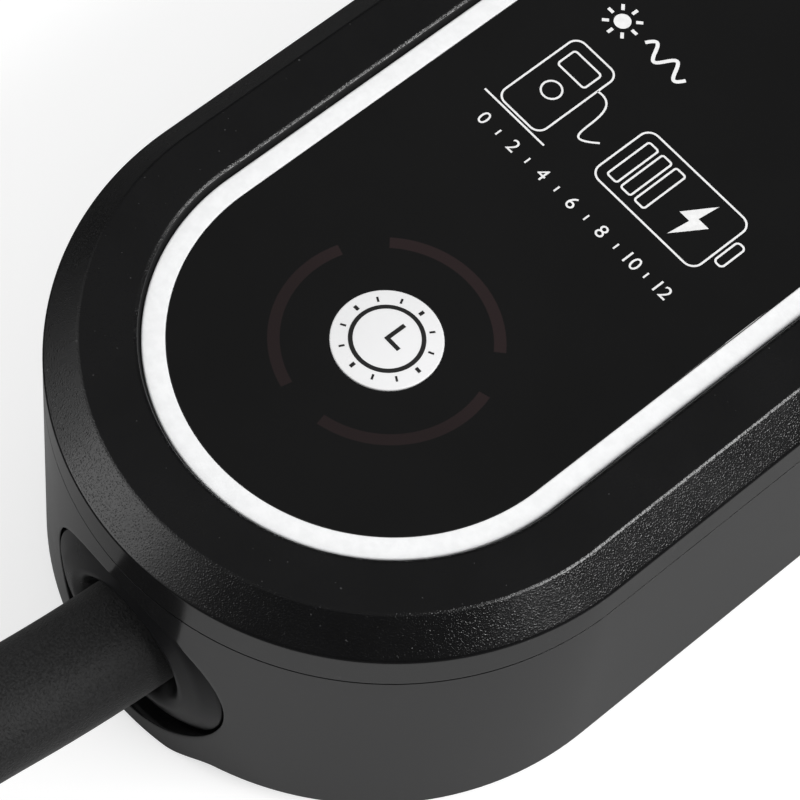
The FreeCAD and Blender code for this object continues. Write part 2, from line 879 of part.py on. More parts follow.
def terminal_block():
    """Screw terminal at the lead's end, with its wire entries and clamp screw wells."""
    outer_y = terminal_edge - board_half_length
    body = on_board(terminal_size, (0, outer_y + terminal_size[1] / 2))
    top = board_top + terminal_size[2]
    for x in terminal_way_places():
        entry = cylinder(terminal_entry_radius, terminal_entry_depth, x, outer_y, terminal_middle, (0, 1, 0))
        well_y = outer_y + terminal_size[1] / 2
        well = cylinder(terminal_well_radius, terminal_well_depth, x, well_y, top, (0, 0, -1))
        body = body.cut(entry.fuse(well))
    return body


def terminal_way_places():
    pitch = terminal_size[0] / terminal_ways
    return [(k + 0.5) * pitch - terminal_size[0] / 2 for k in range(terminal_ways)]


def power_conductors():
    """The lead's power cores, from the sheath's end into the terminals."""
    start_y = stub_length - gland_rim_y
    entry_y = terminal_edge - board_half_length
    cores = []
    for k, x_out in enumerate(terminal_way_places()):
        angle = math.radians(210 - k * 360 / terminal_ways)
        x_in = core_circle * math.cos(angle)
        z_in = gland_height + core_circle * math.sin(angle)
        route = [
            (x_in, start_y, z_in),
            (x_in, start_y + core_straight, z_in),
            (x_out, entry_y - core_straight, terminal_middle),
            (x_out, entry_y + terminal_entry_depth - terminal_entry_radius, terminal_middle),
        ]
        cores.append(tube_along(route, core_radius))
    return Part.makeCompound(cores)


def transformer():
    """Core across and winding along, standing on the board."""
    return on_board(transformer_core, transformer_spot).fuse(on_board(transformer_winding, transformer_spot))


def current_sensor():
    """Ring core of the residual current sensor, standing on the board."""
    x, y = sensor_spot
    start = y - sensor_width / 2
    core = cylinder(sensor_radius, sensor_width, x, start, board_top + sensor_radius, (0, 1, 0))
    return core.cut(cylinder(sensor_hole, sensor_width, x, start, board_top + sensor_radius, (0, 1, 0)))


def sensor_bars():
    """The two power bars that run through the sensor's ring."""
    x_middle, y_middle = sensor_spot
    reach = sensor_width / 2 + bar_overhang
    bars = []
    for x in (x_middle - bar_spacing / 2, x_middle + bar_spacing / 2):
        route = [
            (x, y_middle - reach, board_top),
            (x, y_middle - reach, board_top + sensor_radius),
            (x, y_middle + reach, board_top + sensor_radius),
            (x, y_middle + reach, board_top),
        ]
        bars.append(tube_along(route, bar_radius))
    return Part.makeCompound(bars)


def storage_capacitor():
    x, y = storage_capacitor_spot
    return cylinder(storage_capacitor_radius, storage_capacitor_height, x, y, board_top)


def surge_disc():
    x, y = surge_disc_spot
    return cylinder(
        surge_disc_radius,
        surge_disc_thickness,
        x,
        y,
        board_top + surge_disc_lift + surge_disc_radius,
        (0, 1, 0),
    )


def ribbon():
    """Flat cable between the sockets of the two boards."""
    x, y = ribbon_spot
    half = ribbon_thickness / 2
    low = board_top + ribbon_socket[2]
    high = display_top - display_thickness - ribbon_socket[2]
    return block(x - ribbon_width / 2, x + ribbon_width / 2, y - half, y + half, low, high)


def ribbon_sockets():
    lower = on_board(ribbon_socket, ribbon_spot)
    upper = lower.copy()
    upper.translate(vec(0, 0, display_top - display_thickness - ribbon_socket[2] - board_top))
    return Part.makeCompound([lower, upper])


def coil():
    """Outer shape of the wound lead: a round ring, notched where the lead runs in and out and at the tie."""
    inner = coil_inner_turn - cable_radius
    outer = coil_outer_turn + cable_radius
    height = coil_layers * 2 * cable_radius
    profile = rounded_outline(
        [
            (inner, 0, cable_radius),
            (outer, 0, cable_radius),
            (outer, height, cable_radius),
            (inner, height, cable_radius),
        ]
    )
    ring = profile.revolve(vec(0, 0, 0), vec(0, 0, 1), 360)
    ring.translate(vec(coil_x, coil_y, 0))
    notches = [
        cylinder(cable_radius + coil_notch, outer, *spot, (0, 1, 0)) for spot in (lead_in[-1], lead_out()[0])
    ]
    return ring.cut(notches[0]).cut(notches[1]).cut(tie_loop(tie_gap))


def tie_loop(room=0):
    """Strap round the coil's section at its far side from the box, thicker by some room on every face."""
    near = coil_inner_turn - cable_radius + tie_squeeze
    far = coil_outer_turn + cable_radius - tie_squeeze
    top = coil_layers * 2 * cable_radius + tie_slack

    def section(grow):
        low = tie_thickness - grow
        radius = cable_radius + grow
        outline = rounded_outline(
            [
                (near - grow, low, radius),
                (far + grow, low, radius),
                (far + grow, top + grow, radius),
                (near - grow, top + grow, radius),
            ]
        )
        slab = outline.extrude(vec(0, tie_width + 2 * room, 0))
        slab.translate(vec(0, -tie_width / 2 - room, 0))
        return slab

    loop = section(tie_thickness + room).cut(section(-room))
    loop.rotate(vec(0, 0, 0), vec(0, 0, 1), -90)
    loop.translate(vec(coil_x, coil_y, 0))
    return loop


def coil_tie():
    """Strap with its end pressed down on top."""
    middle = coil_y - (coil_inner_turn + coil_outer_turn) / 2
    top = coil_layers * 2 * cable_radius + tie_slack + tie_thickness
    half = tie_width / 2
    start = middle - tie_tab / 2
    end = start + tie_tab
    tab = block(coil_x - half, coil_x + half, start, end, top, top + tie_thickness)
    rounded_end = cylinder(half, tie_thickness, coil_x, end, top)
    return tie_loop().fuse(tab).fuse(rounded_end)


def lead_out():
    """Route of the lead from the coil's upper layer into the connector's boot."""
    x = coil_x - coil_outer_turn - coil_drift
    top_turn = (2 * coil_layers - 1) * cable_radius
    bend = connector_frame().multVec(boot_point(boot_length + boot_lead))
    end = connector_frame().multVec(boot_point(boot_length - boot_bore_depth))
    leaving = [(x - outwards, coil_y + along, top_turn) for outwards, along in coil_leaving]
    return leaving + [tuple(bend), tuple(end)]


# Handle of the connector: middle line in plan and half sizes, from the flange to the cable end
handle_stations = [
    (0.0, -4.0, 31.0, 31.0),
    (0.0, -22.0, 29.5, 29.0),
    (-4.0, -55.0, 22.5, 24.0),
    (-13.0, -92.0, 18.0, 20.0),
    (-24.0, -130.0, 16.2, 16.2),
]
grip_screw_spots = [(19.0, -20.0), (-19.0, -20.0), (-17.8, -110.0)]


def connector_frame():
    """Where the connector lies: on its flange's lower edge and the handle's cable end."""
    last = handle_stations[-1]
    tilt = math.atan2(flange_radius - last[3], -last[1] - flange_thickness)
    height = flange_radius * math.cos(tilt) + flange_thickness * math.sin(tilt) + ground_gap
    return FreeCAD.Placement(
        vec(connector_x, connector_y, height),
        FreeCAD.Rotation(vec(1, 0, 0), math.degrees(tilt)),
    )


def handle_exit():
    """Direction of the handle's middle line where the cable enters."""
    last = handle_stations[-1]
    before = handle_stations[-2]
    direction = vec(last[0] - before[0], last[1] - before[1], 0)
    direction.normalize()
    return direction


def boot_point(distance):
    """Point on the boot's axis, at a distance behind the handle's end."""
    last = handle_stations[-1]
    return vec(last[0], last[1], 0) + handle_exit() * distance


def handle_form(shrink):
    """Lofted form of the handle, smaller all round by a wall."""
    sections = []
    for k, (x, y, half_width, half_height) in enumerate(handle_stations):
        ahead = handle_stations[min(k + 1, len(handle_stations) - 1)]
        behind = handle_stations[max(k - 1, 0)]
        along = vec(ahead[0] - behind[0], ahead[1] - behind[1], 0)
        if k == 0:
            along = vec(0, -1, 0)
        along.normalize()
        across = vec(-along.y, along.x, 0)
        a = half_width - shrink
        b = half_height - shrink
        if a >= b:
            curve = Part.Ellipse(vec(x, y, 0) + across * a, vec(x, y, b), vec(x, y, 0))
        else:
            curve = Part.Ellipse(vec(x, y, b), vec(x, y, 0) + across * a, vec(x, y, 0))
        if abs(a - b) < 1e-6:
            curve = Part.Circle(vec(x, y, 0), along, a)
        sections.append(Part.Wire(curve.toShape()))
    return Part.makeLoft(sections, True, False)


def handle_halves():
    """The two moulded halves of the handle, hollow, with screw bosses on the split."""
    outer = handle_form(0)
    hollow = handle_form(shell_wall)
    boss_height = 2 * flange_radius
    boss_list = [cylinder(grip_boss_radius, boss_height, x, y, -flange_radius) for x, y in grip_screw_spots]
    bosses = boss_list[0].multiFuse(boss_list[1:]).common(outer)
    shell = outer.cut(hollow).fuse(bosses)
    spigot_depth = flange_thickness + nose_spigot + spigot_gap
    shell = shell.cut(cylinder(nose_spigot_radius + spigot_gap, spigot_depth, 0, 0, 0, (0, -1, 0)))
    boot_room = Part.makeCylinder(boot_plug + boot_gap, 2 * boot_seat, boot_point(-boot_seat), handle_exit())
    shell = shell.cut(boot_room)
    for x, y in grip_screw_spots:
        well = cylinder(grip_head_radius + grip_head_gap, 2 * flange_radius, x, y, grip_seat)
        depth = grip_screw_length + end_room
        hole = cylinder(grip_screw_radius + screw_gap, depth, x, y, grip_seat, (0, 0, -1))
        shell = shell.cut(well.fuse(hole))
    size = 6 * flange_radius
    upper = shell.common(block(-size, size, -size, size, 0, size))
    lower = shell.common(block(-size, size, -size, size, -size, 0))
    return upper, lower


def contact_spots():
    """Places of the seven contacts in the nose's face: five power, two pilot."""
    half = contact_pitch / 2
    power = [(-contact_pitch, 0), (0, 0), (contact_pitch, 0), (-half, -contact_row), (half, -contact_row)]
    pilot = [(-half, contact_row), (half, contact_row)]
    return power, pilot


def connector_nose():
    """Plug body with its flange, flat and contact holes."""
    body = cylinder(nose_radius, nose_length, 0, 0, 0, (0, 1, 0))
    body = body.common(block(-nose_radius, nose_radius, 0, nose_length, -nose_radius, nose_flat))
    flange = cylinder(flange_radius, flange_thickness, 0, 0, 0, (0, -1, 0))
    spigot = cylinder(nose_spigot_radius, nose_spigot, 0, -flange_thickness, 0, (0, -1, 0))
    body = body.fuse(flange).fuse(spigot)
    power, pilot = contact_spots()
    for radius, places in ((contact_hole, power), (pilot_hole, pilot)):
        for x, z in places:
            depth = contact_sink + contact_length
            body = body.cut(cylinder(radius, depth, x, nose_length, z, (0, -1, 0)))
    return body


def connector_contacts():
    """Contact sleeves at the bottom of the nose's holes."""
    sleeves = []
    power, pilot = contact_spots()
    front = nose_length - contact_sink
    bore_depth = contact_length - contact_floor
    for hole_radius, places in ((contact_hole, power), (pilot_hole, pilot)):
        radius = hole_radius - contact_gap
        for x, z in places:
            sleeve = cylinder(radius, contact_length, x, front, z, (0, -1, 0))
            bore = cylinder(radius - contact_wall, bore_depth, x, front, z, (0, -1, 0))
            sleeves.append(sleeve.cut(bore))
    return Part.makeCompound(sleeves)


def connector_cap():
    """Push-on cap over the nose, with grip ribs."""
    inner = nose_radius + cap_gap
    outer = inner + cap_wall
    depth = nose_length + cap_gap
    end = depth + cap_end
    cup = turned(
        [(0, depth), (inner, depth), (inner, 0), (outer, 0), (outer, end, cap_round), (0, end)],
        vec(0, 0, 0),
        vec(0, 1, 0),
    )
    rib_start_y = end - cap_round - cap_rib_length
    grooves = []
    for k in range(cap_rib_count):
        angle = math.radians(k * 360 / cap_rib_count)
        reach = outer + cap_rib_width / 2 - cap_rib_depth
        x = reach * math.cos(angle)
        z = reach * math.sin(angle)
        grooves.append(cylinder(cap_rib_width / 2, cap_rib_length, x, rib_start_y, z, (0, 1, 0)))
    return cup.cut(grooves[0].multiFuse(grooves[1:]))


def connector_boot():
    """Tapered strain relief with bending grooves and the cable's blind bore."""
    profile = [(0, -boot_seat), (boot_plug, -boot_seat), (boot_plug, 0), (boot_thick, 0)]
    grooved = boot_length - boot_groove_start - boot_groove_width - boot_groove_end
    pitch = grooved / (boot_groove_count - 1)

    def taper(distance):
        return boot_thick + (boot_thin - boot_thick) * distance / boot_length

    for k in range(boot_groove_count):
        start = boot_groove_start + k * pitch
        end = start + boot_groove_width
        profile.extend(
            [
                (taper(start), start),
                (taper(start) - boot_groove_depth, start),
                (taper(end) - boot_groove_depth, end),
                (taper(end), end),
            ]
        )
    profile.extend([(boot_thin, boot_length, boot_end_round), (0, boot_length)])
    body = turned(profile, boot_point(0), handle_exit())
    bore_start = boot_point(boot_length - boot_bore_depth)
    bore = Part.makeCylinder(cable_radius + boot_gap, 2 * boot_bore_depth, bore_start, handle_exit())
    return body.cut(bore)


def grip_screws():
    sizes = (grip_head_radius, grip_head_height, grip_screw_radius, grip_screw_length)
    return Part.makeCompound([screw(*sizes, x, y, grip_seat, up=False) for x, y in grip_screw_spots])


def build_case():
    parts["lower_housing"] = lower_housing()
    parts["top_bezel"] = top_bezel()
    parts["housing_seal"] = housing_seal()
    parts["housing_screws"] = housing_screws()
    parts["light_ring"] = light_ring()
    parts["front_panel"] = front_panel()
    parts["button_cap"] = button_cap()


def build_display():
    parts["indicator_guide"] = indicator_guide()
    parts["display_board"] = display_board()
    parts["ring_leds"] = ring_leds()
    parts["arc_leds"] = arc_leds()
    parts["push_switch"] = push_switch()
    parts["switch_plunger"] = switch_plunger()
    parts["display_screws"] = display_screws()


def build_glands():
    for name, piece in (
        ("gland", gland()),
        ("gland_seal", gland_washer()),
        ("gland_retainer", gland_retainer()),
        ("cable_clamp", clamp_bar_piece()),
        ("clamp_screws", clamp_screws()),
    ):
        near, far = both_ends(piece)
        parts["lead_" + name] = near
        parts["supply_" + name] = far
    parts["lead_sheath_end"] = lead_stub()
    parts["lead_conductors"] = power_conductors()


def build_electronics():
    parts["main_board"] = main_board()
    parts["board_screws"] = board_screws()
    parts["lead_terminals"], parts["supply_terminals"] = both_ends(terminal_block())
    parts["line_relay"] = on_board(relay_size, line_relay_spot)
    parts["neutral_relay"] = on_board(relay_size, neutral_relay_spot)
    parts["current_sensor"] = current_sensor()
    parts["sensor_bars"] = sensor_bars()
    parts["transformer"] = transformer()
    parts["filter_capacitor"] = on_board(filter_capacitor_size, filter_capacitor_spot)
    parts["storage_capacitor"] = storage_capacitor()
    parts["surge_disc"] = surge_disc()
    parts["controller_chip"] = on_board(chip_size, chip_spot)
    parts["ribbon_cable"] = ribbon()
    parts["ribbon_sockets"] = ribbon_sockets()


def build_lead():
    parts["lead_stretch"] = tube_along(lead_in, cable_radius, "lead from the box")
    parts["lead_coil"] = coil()
    parts["coil_tie"] = coil_tie()
    parts["lead_tail"] = tube_along(lead_out(), cable_radius, "lead to the connector")


def build_connector():
    upper, lower = handle_halves()
    pieces = {
        "connector_shell_upper": upper,
        "connector_shell_lower": lower,
        "connector_nose": connector_nose(),
        "connector_contacts": connector_contacts(),
        "connector_cap": connector_cap(),
        "connector_boot": connector_boot(),
        "connector_screws": grip_screws(),
    }
    for name, piece in pieces.items():
        piece.Placement = connector_frame().multiply(piece.Placement)
        parts[name] = piece


build_case()
build_display()
build_glands()
build_electronics()
build_lead()
build_connector()

os.makedirs("parts", exist_ok=True)
for name, shape in parts.items():
    shape.exportStep("parts/" + name + ".step")
    print(name, "solids", len(shape.Solids), "valid", shape.isValid(), "volume", round(shape.Volume, 1))
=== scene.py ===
# %% [markdown]
# A portable charging box for an electric car, dressed for its picture.
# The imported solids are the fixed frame: they give the main sizes and every place, and this script gives the
# visible surfaces their soft edges, printed symbols, finishes and light. Sizes of pieces are in millimetres
# and are brought to metres in the mesh. The camera, the lead's points, the floor and the lamps are in metres.

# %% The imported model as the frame
import bmesh
import bpy
import json
import math
import numpy as np
from mathutils import Matrix, Vector


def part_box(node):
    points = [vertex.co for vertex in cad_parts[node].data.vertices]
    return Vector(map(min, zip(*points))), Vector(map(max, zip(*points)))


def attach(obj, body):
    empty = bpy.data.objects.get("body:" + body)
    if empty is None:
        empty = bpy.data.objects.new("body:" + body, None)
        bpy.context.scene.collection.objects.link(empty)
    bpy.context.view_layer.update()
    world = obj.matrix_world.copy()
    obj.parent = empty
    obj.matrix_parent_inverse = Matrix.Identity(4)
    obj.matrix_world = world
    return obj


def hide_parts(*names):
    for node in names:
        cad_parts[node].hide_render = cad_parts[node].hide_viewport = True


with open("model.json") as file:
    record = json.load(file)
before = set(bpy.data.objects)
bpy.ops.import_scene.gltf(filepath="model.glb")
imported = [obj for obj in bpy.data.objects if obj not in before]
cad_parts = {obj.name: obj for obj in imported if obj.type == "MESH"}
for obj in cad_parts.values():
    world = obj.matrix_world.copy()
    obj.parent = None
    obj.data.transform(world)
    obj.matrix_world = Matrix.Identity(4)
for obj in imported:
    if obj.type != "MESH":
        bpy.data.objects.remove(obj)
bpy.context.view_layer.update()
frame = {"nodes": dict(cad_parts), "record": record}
mm = 0.001


def node_box(name):
    """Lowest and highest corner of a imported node, in millimetres."""
    low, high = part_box(name)
    return np.array(low) / mm, np.array(high) / mm


housing_high = node_box("lower_housing")[1]
bezel_low, bezel_high = node_box("top_bezel")
ring_low, ring_high = node_box("light_ring")
panel_low, panel_high = node_box("front_panel")
button_low, button_high = node_box("button_cap")
gland_low = node_box("lead_gland")[0]
case_radius = housing_high[0]
half_spacing = housing_high[1] - case_radius
seam_height = housing_high[2]
rim_height = bezel_high[2]
ring_radius = ring_high[0]
print("case radius", round(case_radius, 2), "axes of the round ends at", round(half_spacing, 2))

# %% [markdown]
# The camera stands where the photographer's stood, found by matching the light ring's outline, which is two
# straight lines and a half circle. A long lens looks down on the near end of the box.

# %% Camera
camera_turn = math.radians(41.4116)  # round the box, from looking along +Y
camera_rise = math.radians(60.7287)
camera_roll = math.radians(7.8374)
camera_distance = 0.51320
camera_target = Vector((0.0079009, -0.0632461, 0.0523))


def placed(name, data):
    """Object for some data, linked into the scene at the origin."""
    made = bpy.data.objects.new(name, data)
    bpy.context.scene.collection.objects.link(made)
    return made


ahead = Vector(
    (
        -math.sin(camera_turn) * math.cos(camera_rise),
        math.cos(camera_turn) * math.cos(camera_rise),
        -math.sin(camera_rise),
    )
)
level = ahead.cross(Vector((0, 0, 1))).normalized()
upright = level.cross(ahead)
right = level * math.cos(camera_roll) + upright * math.sin(camera_roll)
up = upright * math.cos(camera_roll) - level * math.sin(camera_roll)
camera_data = bpy.data.cameras.new("camera")
camera_data.sensor_width = 36.0
camera_data.lens = 175.95
camera_data.clip_start = 0.01
camera = placed("camera", camera_data)
turned_axes = Matrix((right, up, -ahead)).transposed().to_4x4()
camera.matrix_world = Matrix.Translation(camera_target - ahead * camera_distance) @ turned_axes
bpy.context.scene.camera = camera
print("camera at", [round(v, 4) for v in camera.matrix_world.translation])

# %% [markdown]
# The charging lead is a stiff rubber cable as thick as a finger. It leaves the box straight, sags to the
# floor and runs out of the picture, where the rest lies wound in a flat coil of two layers, and ends in the
# vehicle connector. One spline carries a round section along the whole of it. The coil's turns are worked out
# from the angle: the middle line winds inwards on the floor, climbs over three quarters of a turn and winds
# out on top.

# %% Charging lead
cable_radius = 8.25
lead_in = [
    (0.0, -0.086, 0.0203),
    (0.0, -0.105, 0.0203),
    (-0.0049, -0.140, 0.0203),
    (-0.0089, -0.177, 0.00825),
    (-0.012, -0.213, 0.00825),
    (-0.012, -0.250, 0.00825),
]
lead_out = [
    (-0.26025, -0.250, 0.02475),
    (-0.26025, -0.220, 0.02475),
    (-0.26175, -0.189, 0.02475),
    (-0.2606, -0.1387, 0.0079),
    (-0.24614, -0.08919, 0.0143),
]
coil_turns = 7.5
coil_points_per_turn = 16
coil_climb_turns = 0.75  # the climb from the lower layer to the upper one
tie_lift = 1.2  # the coil lies on its tie at the side away from the box


def coil_points():
    """Points of the coil between the two stretches. At turn t the radius is the outer radius less one cable
    thickness for each turn from the nearer end of the coil, and the height rises by one cable thickness,
    slow-fast-slow, round the middle of the coil. The whole coil tilts a little, because its tie is under one
    side. Each point stands out by one over the cosine of half a step, so that the spline, which cuts its
    corners, runs at the wanted radius."""
    count = int(coil_turns * coil_points_per_turn)
    turn = np.arange(1, count) / coil_points_per_turn
    pitch = 2 * cable_radius * mm
    outer = (lead_in[-1][0] - lead_out[0][0]) / 2
    centre_x = (lead_in[-1][0] + lead_out[0][0]) / 2
    radius = outer - pitch * np.minimum(turn, coil_turns - turn)
    climb = np.clip((turn - (coil_turns - coil_climb_turns) / 2) / coil_climb_turns, 0, 1)
    height = lead_in[-1][2] + pitch * climb**2 * (3 - 2 * climb)
    radius = radius / math.cos(math.pi / coil_points_per_turn)
    angle = -2 * math.pi * turn
    x = centre_x + radius * np.cos(angle)
    y = lead_in[-1][1] + radius * np.sin(angle)
    height = height + tie_lift * mm * (lead_in[-1][1] - y + outer) / (2 * outer)
    return np.stack([x, y, height], axis=1).tolist()


def smooth_cord(name, points, radius):
    """Round cable along one smooth spline that follows its control points. The section is a circle of one
    metre, and each point's own radius brings it to the cable's size."""
    curve = bpy.data.curves.new(name, "CURVE")
    curve.dimensions = "3D"
    curve.bevel_depth = 1.0
    curve.bevel_resolution = 8
    curve.resolution_u = 12
    curve.use_fill_caps = True
    spline = curve.splines.new("NURBS")
    spline.points.add(len(points) - 1)
    for spot, point in zip(spline.points, points):
        spot.co = (*point, 1.0)
        spot.radius = radius
    spline.order_u = 3
    spline.use_endpoint_u = True
    return placed(name, curve)


lead = smooth_cord("charging_lead", lead_in + coil_points() + lead_out, cable_radius * mm)
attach(lead, "case")
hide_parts("lead_stretch", "lead_coil", "lead_tail")

# %% [markdown]
# Finishes come next. What several plastics share is a shader group: the fine grain that spark erosion leaves
# in a mould, and what moulding and handling leave on any plastic, which is a slow, faint unevenness and a few
# specks of dust. The groups put out heights and colours only, and each material keeps its own shader.

# %% Tools for shader nodes
def add_node(tree, kind, inputs=None, **settings):
    """A node with its settings, and with each input given a value or linked from another node's output."""
    node = tree.nodes.new(kind)
    for key, value in settings.items():
        setattr(node, key, value)
    for key, value in (inputs or {}).items():
        if isinstance(value, bpy.types.NodeSocket):
            tree.links.new(value, node.inputs[key])
        else:
            node.inputs[key].default_value = value
    return node


def grey(value):
    """Neutral colour of one brightness."""
    return (value, value, value, 1)


def math_node(tree, operation, *values):
    """Number worked out from one, two or three values."""
    return add_node(tree, "ShaderNodeMath", dict(enumerate(values)), operation=operation).outputs[0]


def step_between(tree, value, low, high):
    """Mask that rises from 0 at low to 1 at high."""
    inputs = {"Value": value, "From Min": low, "From Max": high}
    return add_node(tree, "ShaderNodeMapRange", inputs, interpolation_type="SMOOTHSTEP").outputs[0]


def mix_colour(tree, factor, first, second):
    """Colour between two others. In a Mix node they are inputs 6 and 7, and the result is output 2."""
    return add_node(tree, "ShaderNodeMix", {0: factor, 6: first, 7: second}, data_type="RGBA").outputs[2]


def mix_shader(tree, factor, first, second):
    """The first shader where the factor is 0, the second one where it is 1."""
    return add_node(tree, "ShaderNodeMixShader", {0: factor, 1: first, 2: second}).outputs[0]


def noise(tree, place, scale, detail=0.0, roughness=0.5):
    """Smooth noise from 0 to 1 with a given number of cells to the metre."""
    inputs = {"Vector": place, "Scale": scale, "Detail": detail, "Roughness": roughness}
    return add_node(tree, "ShaderNodeTexNoise", inputs).outputs[0]


def coordinates(tree, place):
    """The three coordinates of a place or a direction."""
    return add_node(tree, "ShaderNodeSeparateXYZ", {0: place}).outputs


def plan_distance(tree, x, y):
    """Distance from the origin in plan, the length of (x, y)."""
    flat = add_node(tree, "ShaderNodeCombineXYZ", {0: x, 1: y}).outputs[0]
    return add_node(tree, "ShaderNodeVectorMath", {0: flat}, operation="LENGTH").outputs[1]


def shader_group(name, inputs, outputs):
    """Empty node group with named inputs (name, kind, value) and outputs (name, kind)."""
    group = bpy.data.node_groups.new(name, "ShaderNodeTree")
    for label, kind, value in inputs:
        group.interface.new_socket(label, in_out="INPUT", socket_type=kind).default_value = value
    for label, kind in outputs:
        group.interface.new_socket(label, in_out="OUTPUT", socket_type=kind)
    return group, group.nodes.new("NodeGroupInput"), group.nodes.new("NodeGroupOutput")


# %% Shared effects
NUMBER = "NodeSocketFloat"
VECTOR = "NodeSocketVector"
COLOUR = "NodeSocketColor"
grit_per_bump = 1.1  # cells of grit to one soft bump
grit_level = 0.53  # only what the grit's noise has above this level stands up
cloud_levels = (0.3, 0.7)  # the clouds' noise, from its dark side to its light one
dust_spacing = 0.55
dust_levels = (0.82, 0.88)  # the rare peaks of a fine noise
dust_grey = 0.11


def make_grain():
    """Mould grain: soft bumps of a given cell size in mm, and a given amount of finer grit that stands on
    them here and there with steep sides."""
    group, given, made = shader_group(
        "mould_grain",
        [("Position", VECTOR, (0, 0, 0)), ("Cell", NUMBER, 0.3), ("Grit", NUMBER, 0.0)],
        [("Height", NUMBER)],
    )
    place = given.outputs["Position"]
    scale = math_node(group, "DIVIDE", 1 / mm, given.outputs["Cell"])
    bumps = noise(group, place, scale, 1.0, 0.6)
    grit = noise(group, place, math_node(group, "MULTIPLY", scale, grit_per_bump))
    standing = math_node(group, "MAXIMUM", math_node(group, "SUBTRACT", grit, grit_level), 0.0)
    height = math_node(group, "MULTIPLY_ADD", standing, given.outputs["Grit"], bumps)
    group.links.new(height, made.inputs["Height"])
    return group


def make_handling():
    """Handling: a colour and a roughness that vary by a small amount in soft clouds of a given size in mm,
    and a given amount of fine dust."""
    group, given, made = shader_group(
        "handling",
        [
            ("Position", VECTOR, (0, 0, 0)),
            ("Size", NUMBER, 20.0),
            ("Colour", COLOUR, grey(0.02)),
            ("Colour change", NUMBER, 0.1),
            ("Roughness", NUMBER, 0.3),
            ("Roughness change", NUMBER, 0.05),
            ("Dust", NUMBER, 0.0),
        ],
        [("Colour", COLOUR), ("Roughness", NUMBER)],
    )
    asked = given.outputs
    scale = math_node(group, "DIVIDE", 1 / mm, asked["Size"])
    cloud = step_between(group, noise(group, asked["Position"], scale, 5.0, 0.55), *cloud_levels)
    signed = math_node(group, "MULTIPLY_ADD", cloud, 2.0, -1.0)
    gain = math_node(group, "MULTIPLY_ADD", signed, asked["Colour change"], 1.0)
    scaled = {0: asked["Colour"], "Scale": gain}
    colour = add_node(group, "ShaderNodeVectorMath", scaled, operation="SCALE").outputs[0]
    rough = math_node(group, "MULTIPLY_ADD", signed, asked["Roughness change"], asked["Roughness"])
    speck = step_between(group, noise(group, asked["Position"], 1 / (dust_spacing * mm)), *dust_levels)
    dusted = math_node(group, "MULTIPLY", speck, asked["Dust"])
    surface = mix_colour(group, dusted, colour, grey(dust_grey))
    group.links.new(surface, made.inputs["Colour"])
    group.links.new(rough, made.inputs["Roughness"])
    return group


mould_grain = make_grain()
handling = make_handling()
print("shader groups", mould_grain.name, handling.name)

# %% [markdown]
# A finish is then a short recipe: base colour, roughness, how large and how deep its grain is, how uneven it
# is, and how dusty. Most pieces of the box need nothing more. The rim, the window, the cable and the white
# pieces add something of their own below.

# %% Recipe of a moulded finish
finishes = {}


def finish(
    name, colour, roughness, cell, depth, change=0.12, rough_change=0.04, size=18.0, specular=0.5, dust=0.0
):
    """Moulded or metal finish, whose grain has a cell and a depth in mm, and whose unevenness has a size in
    mm. It is kept with its shader and the nodes that other effects build on."""
    material = bpy.data.materials.new(name)
    material.use_nodes = True
    material.diffuse_color = (*colour, 1)
    tree = material.node_tree
    shader = tree.nodes["Principled BSDF"]
    shader.inputs["Specular IOR Level"].default_value = specular
    place = add_node(tree, "ShaderNodeTexCoord").outputs["Object"]
    handled = {
        "Position": place,
        "Size": size,
        "Colour": (*colour, 1),
        "Colour change": change,
        "Roughness": roughness,
        "Roughness change": rough_change,
        "Dust": dust,
    }
    uneven = add_node(tree, "ShaderNodeGroup", handled, node_tree=handling)
    grain = add_node(tree, "ShaderNodeGroup", {"Position": place, "Cell": cell}, node_tree=mould_grain)
    raised = {"Height": grain.outputs["Height"], "Distance": depth * mm, "Strength": 1.0}
    bump = add_node(tree, "ShaderNodeBump", raised)
    tree.links.new(uneven.outputs["Colour"], shader.inputs["Base Color"])
    tree.links.new(uneven.outputs["Roughness"], shader.inputs["Roughness"])
    tree.links.new(bump.outputs[0], shader.inputs["Normal"])
    finishes[name] = dict(
        material=material, tree=tree, shader=shader, place=place, uneven=uneven, grain=grain, bump=bump
    )


# %% Finishes
finish("case_gloss", (0.006, 0.006, 0.0065), 0.13, 1.6, 0.0008, dust=0.2)
finish("rim_textured", (0.0045, 0.0045, 0.0048), 0.17, 0.24, 0.02, dust=0.35)
finish("window", (0.0042, 0.0042, 0.0043), 0.07, 2.5, 0.0004, rough_change=0.02, size=30.0)
finish("light_guide", (0.84, 0.845, 0.85), 0.5, 0.3, 0.012, change=0.03, size=1.2)
finish("button_white", (0.77, 0.77, 0.775), 0.38, 0.3, 0.004, change=0.02)
finish("gland_satin", (0.007, 0.007, 0.0076), 0.3, 0.5, 0.002, specular=0.2)
finish("cable_rubber", (0.0145, 0.0145, 0.0148), 0.62, 0.36, 0.07, change=0.45, size=0.36, specular=0.25)
finish("white_ink", (0.80, 0.80, 0.80), 0.5, 0.12, 0.003, change=0.05, size=0.8)
finish("black_ink", (0.012, 0.012, 0.012), 0.5, 0.12, 0.003, change=0.05, size=0.8)
finish("tie_strap", (0.03, 0.03, 0.034), 0.75, 0.5, 0.12, change=0.15, size=5.0)
finish("handle_plastic", (0.025, 0.025, 0.027), 0.42, 0.45, 0.02)
finish("nose_plastic", (0.04, 0.04, 0.043), 0.35, 0.4, 0.008)
finish("inner_plastic", (0.35, 0.36, 0.37), 0.5, 0.5, 0.01)
finish("seal_rubber", (0.05, 0.05, 0.052), 0.65, 0.3, 0.01)
finish("terminal_plastic", (0.12, 0.30, 0.16), 0.45, 0.4, 0.008)
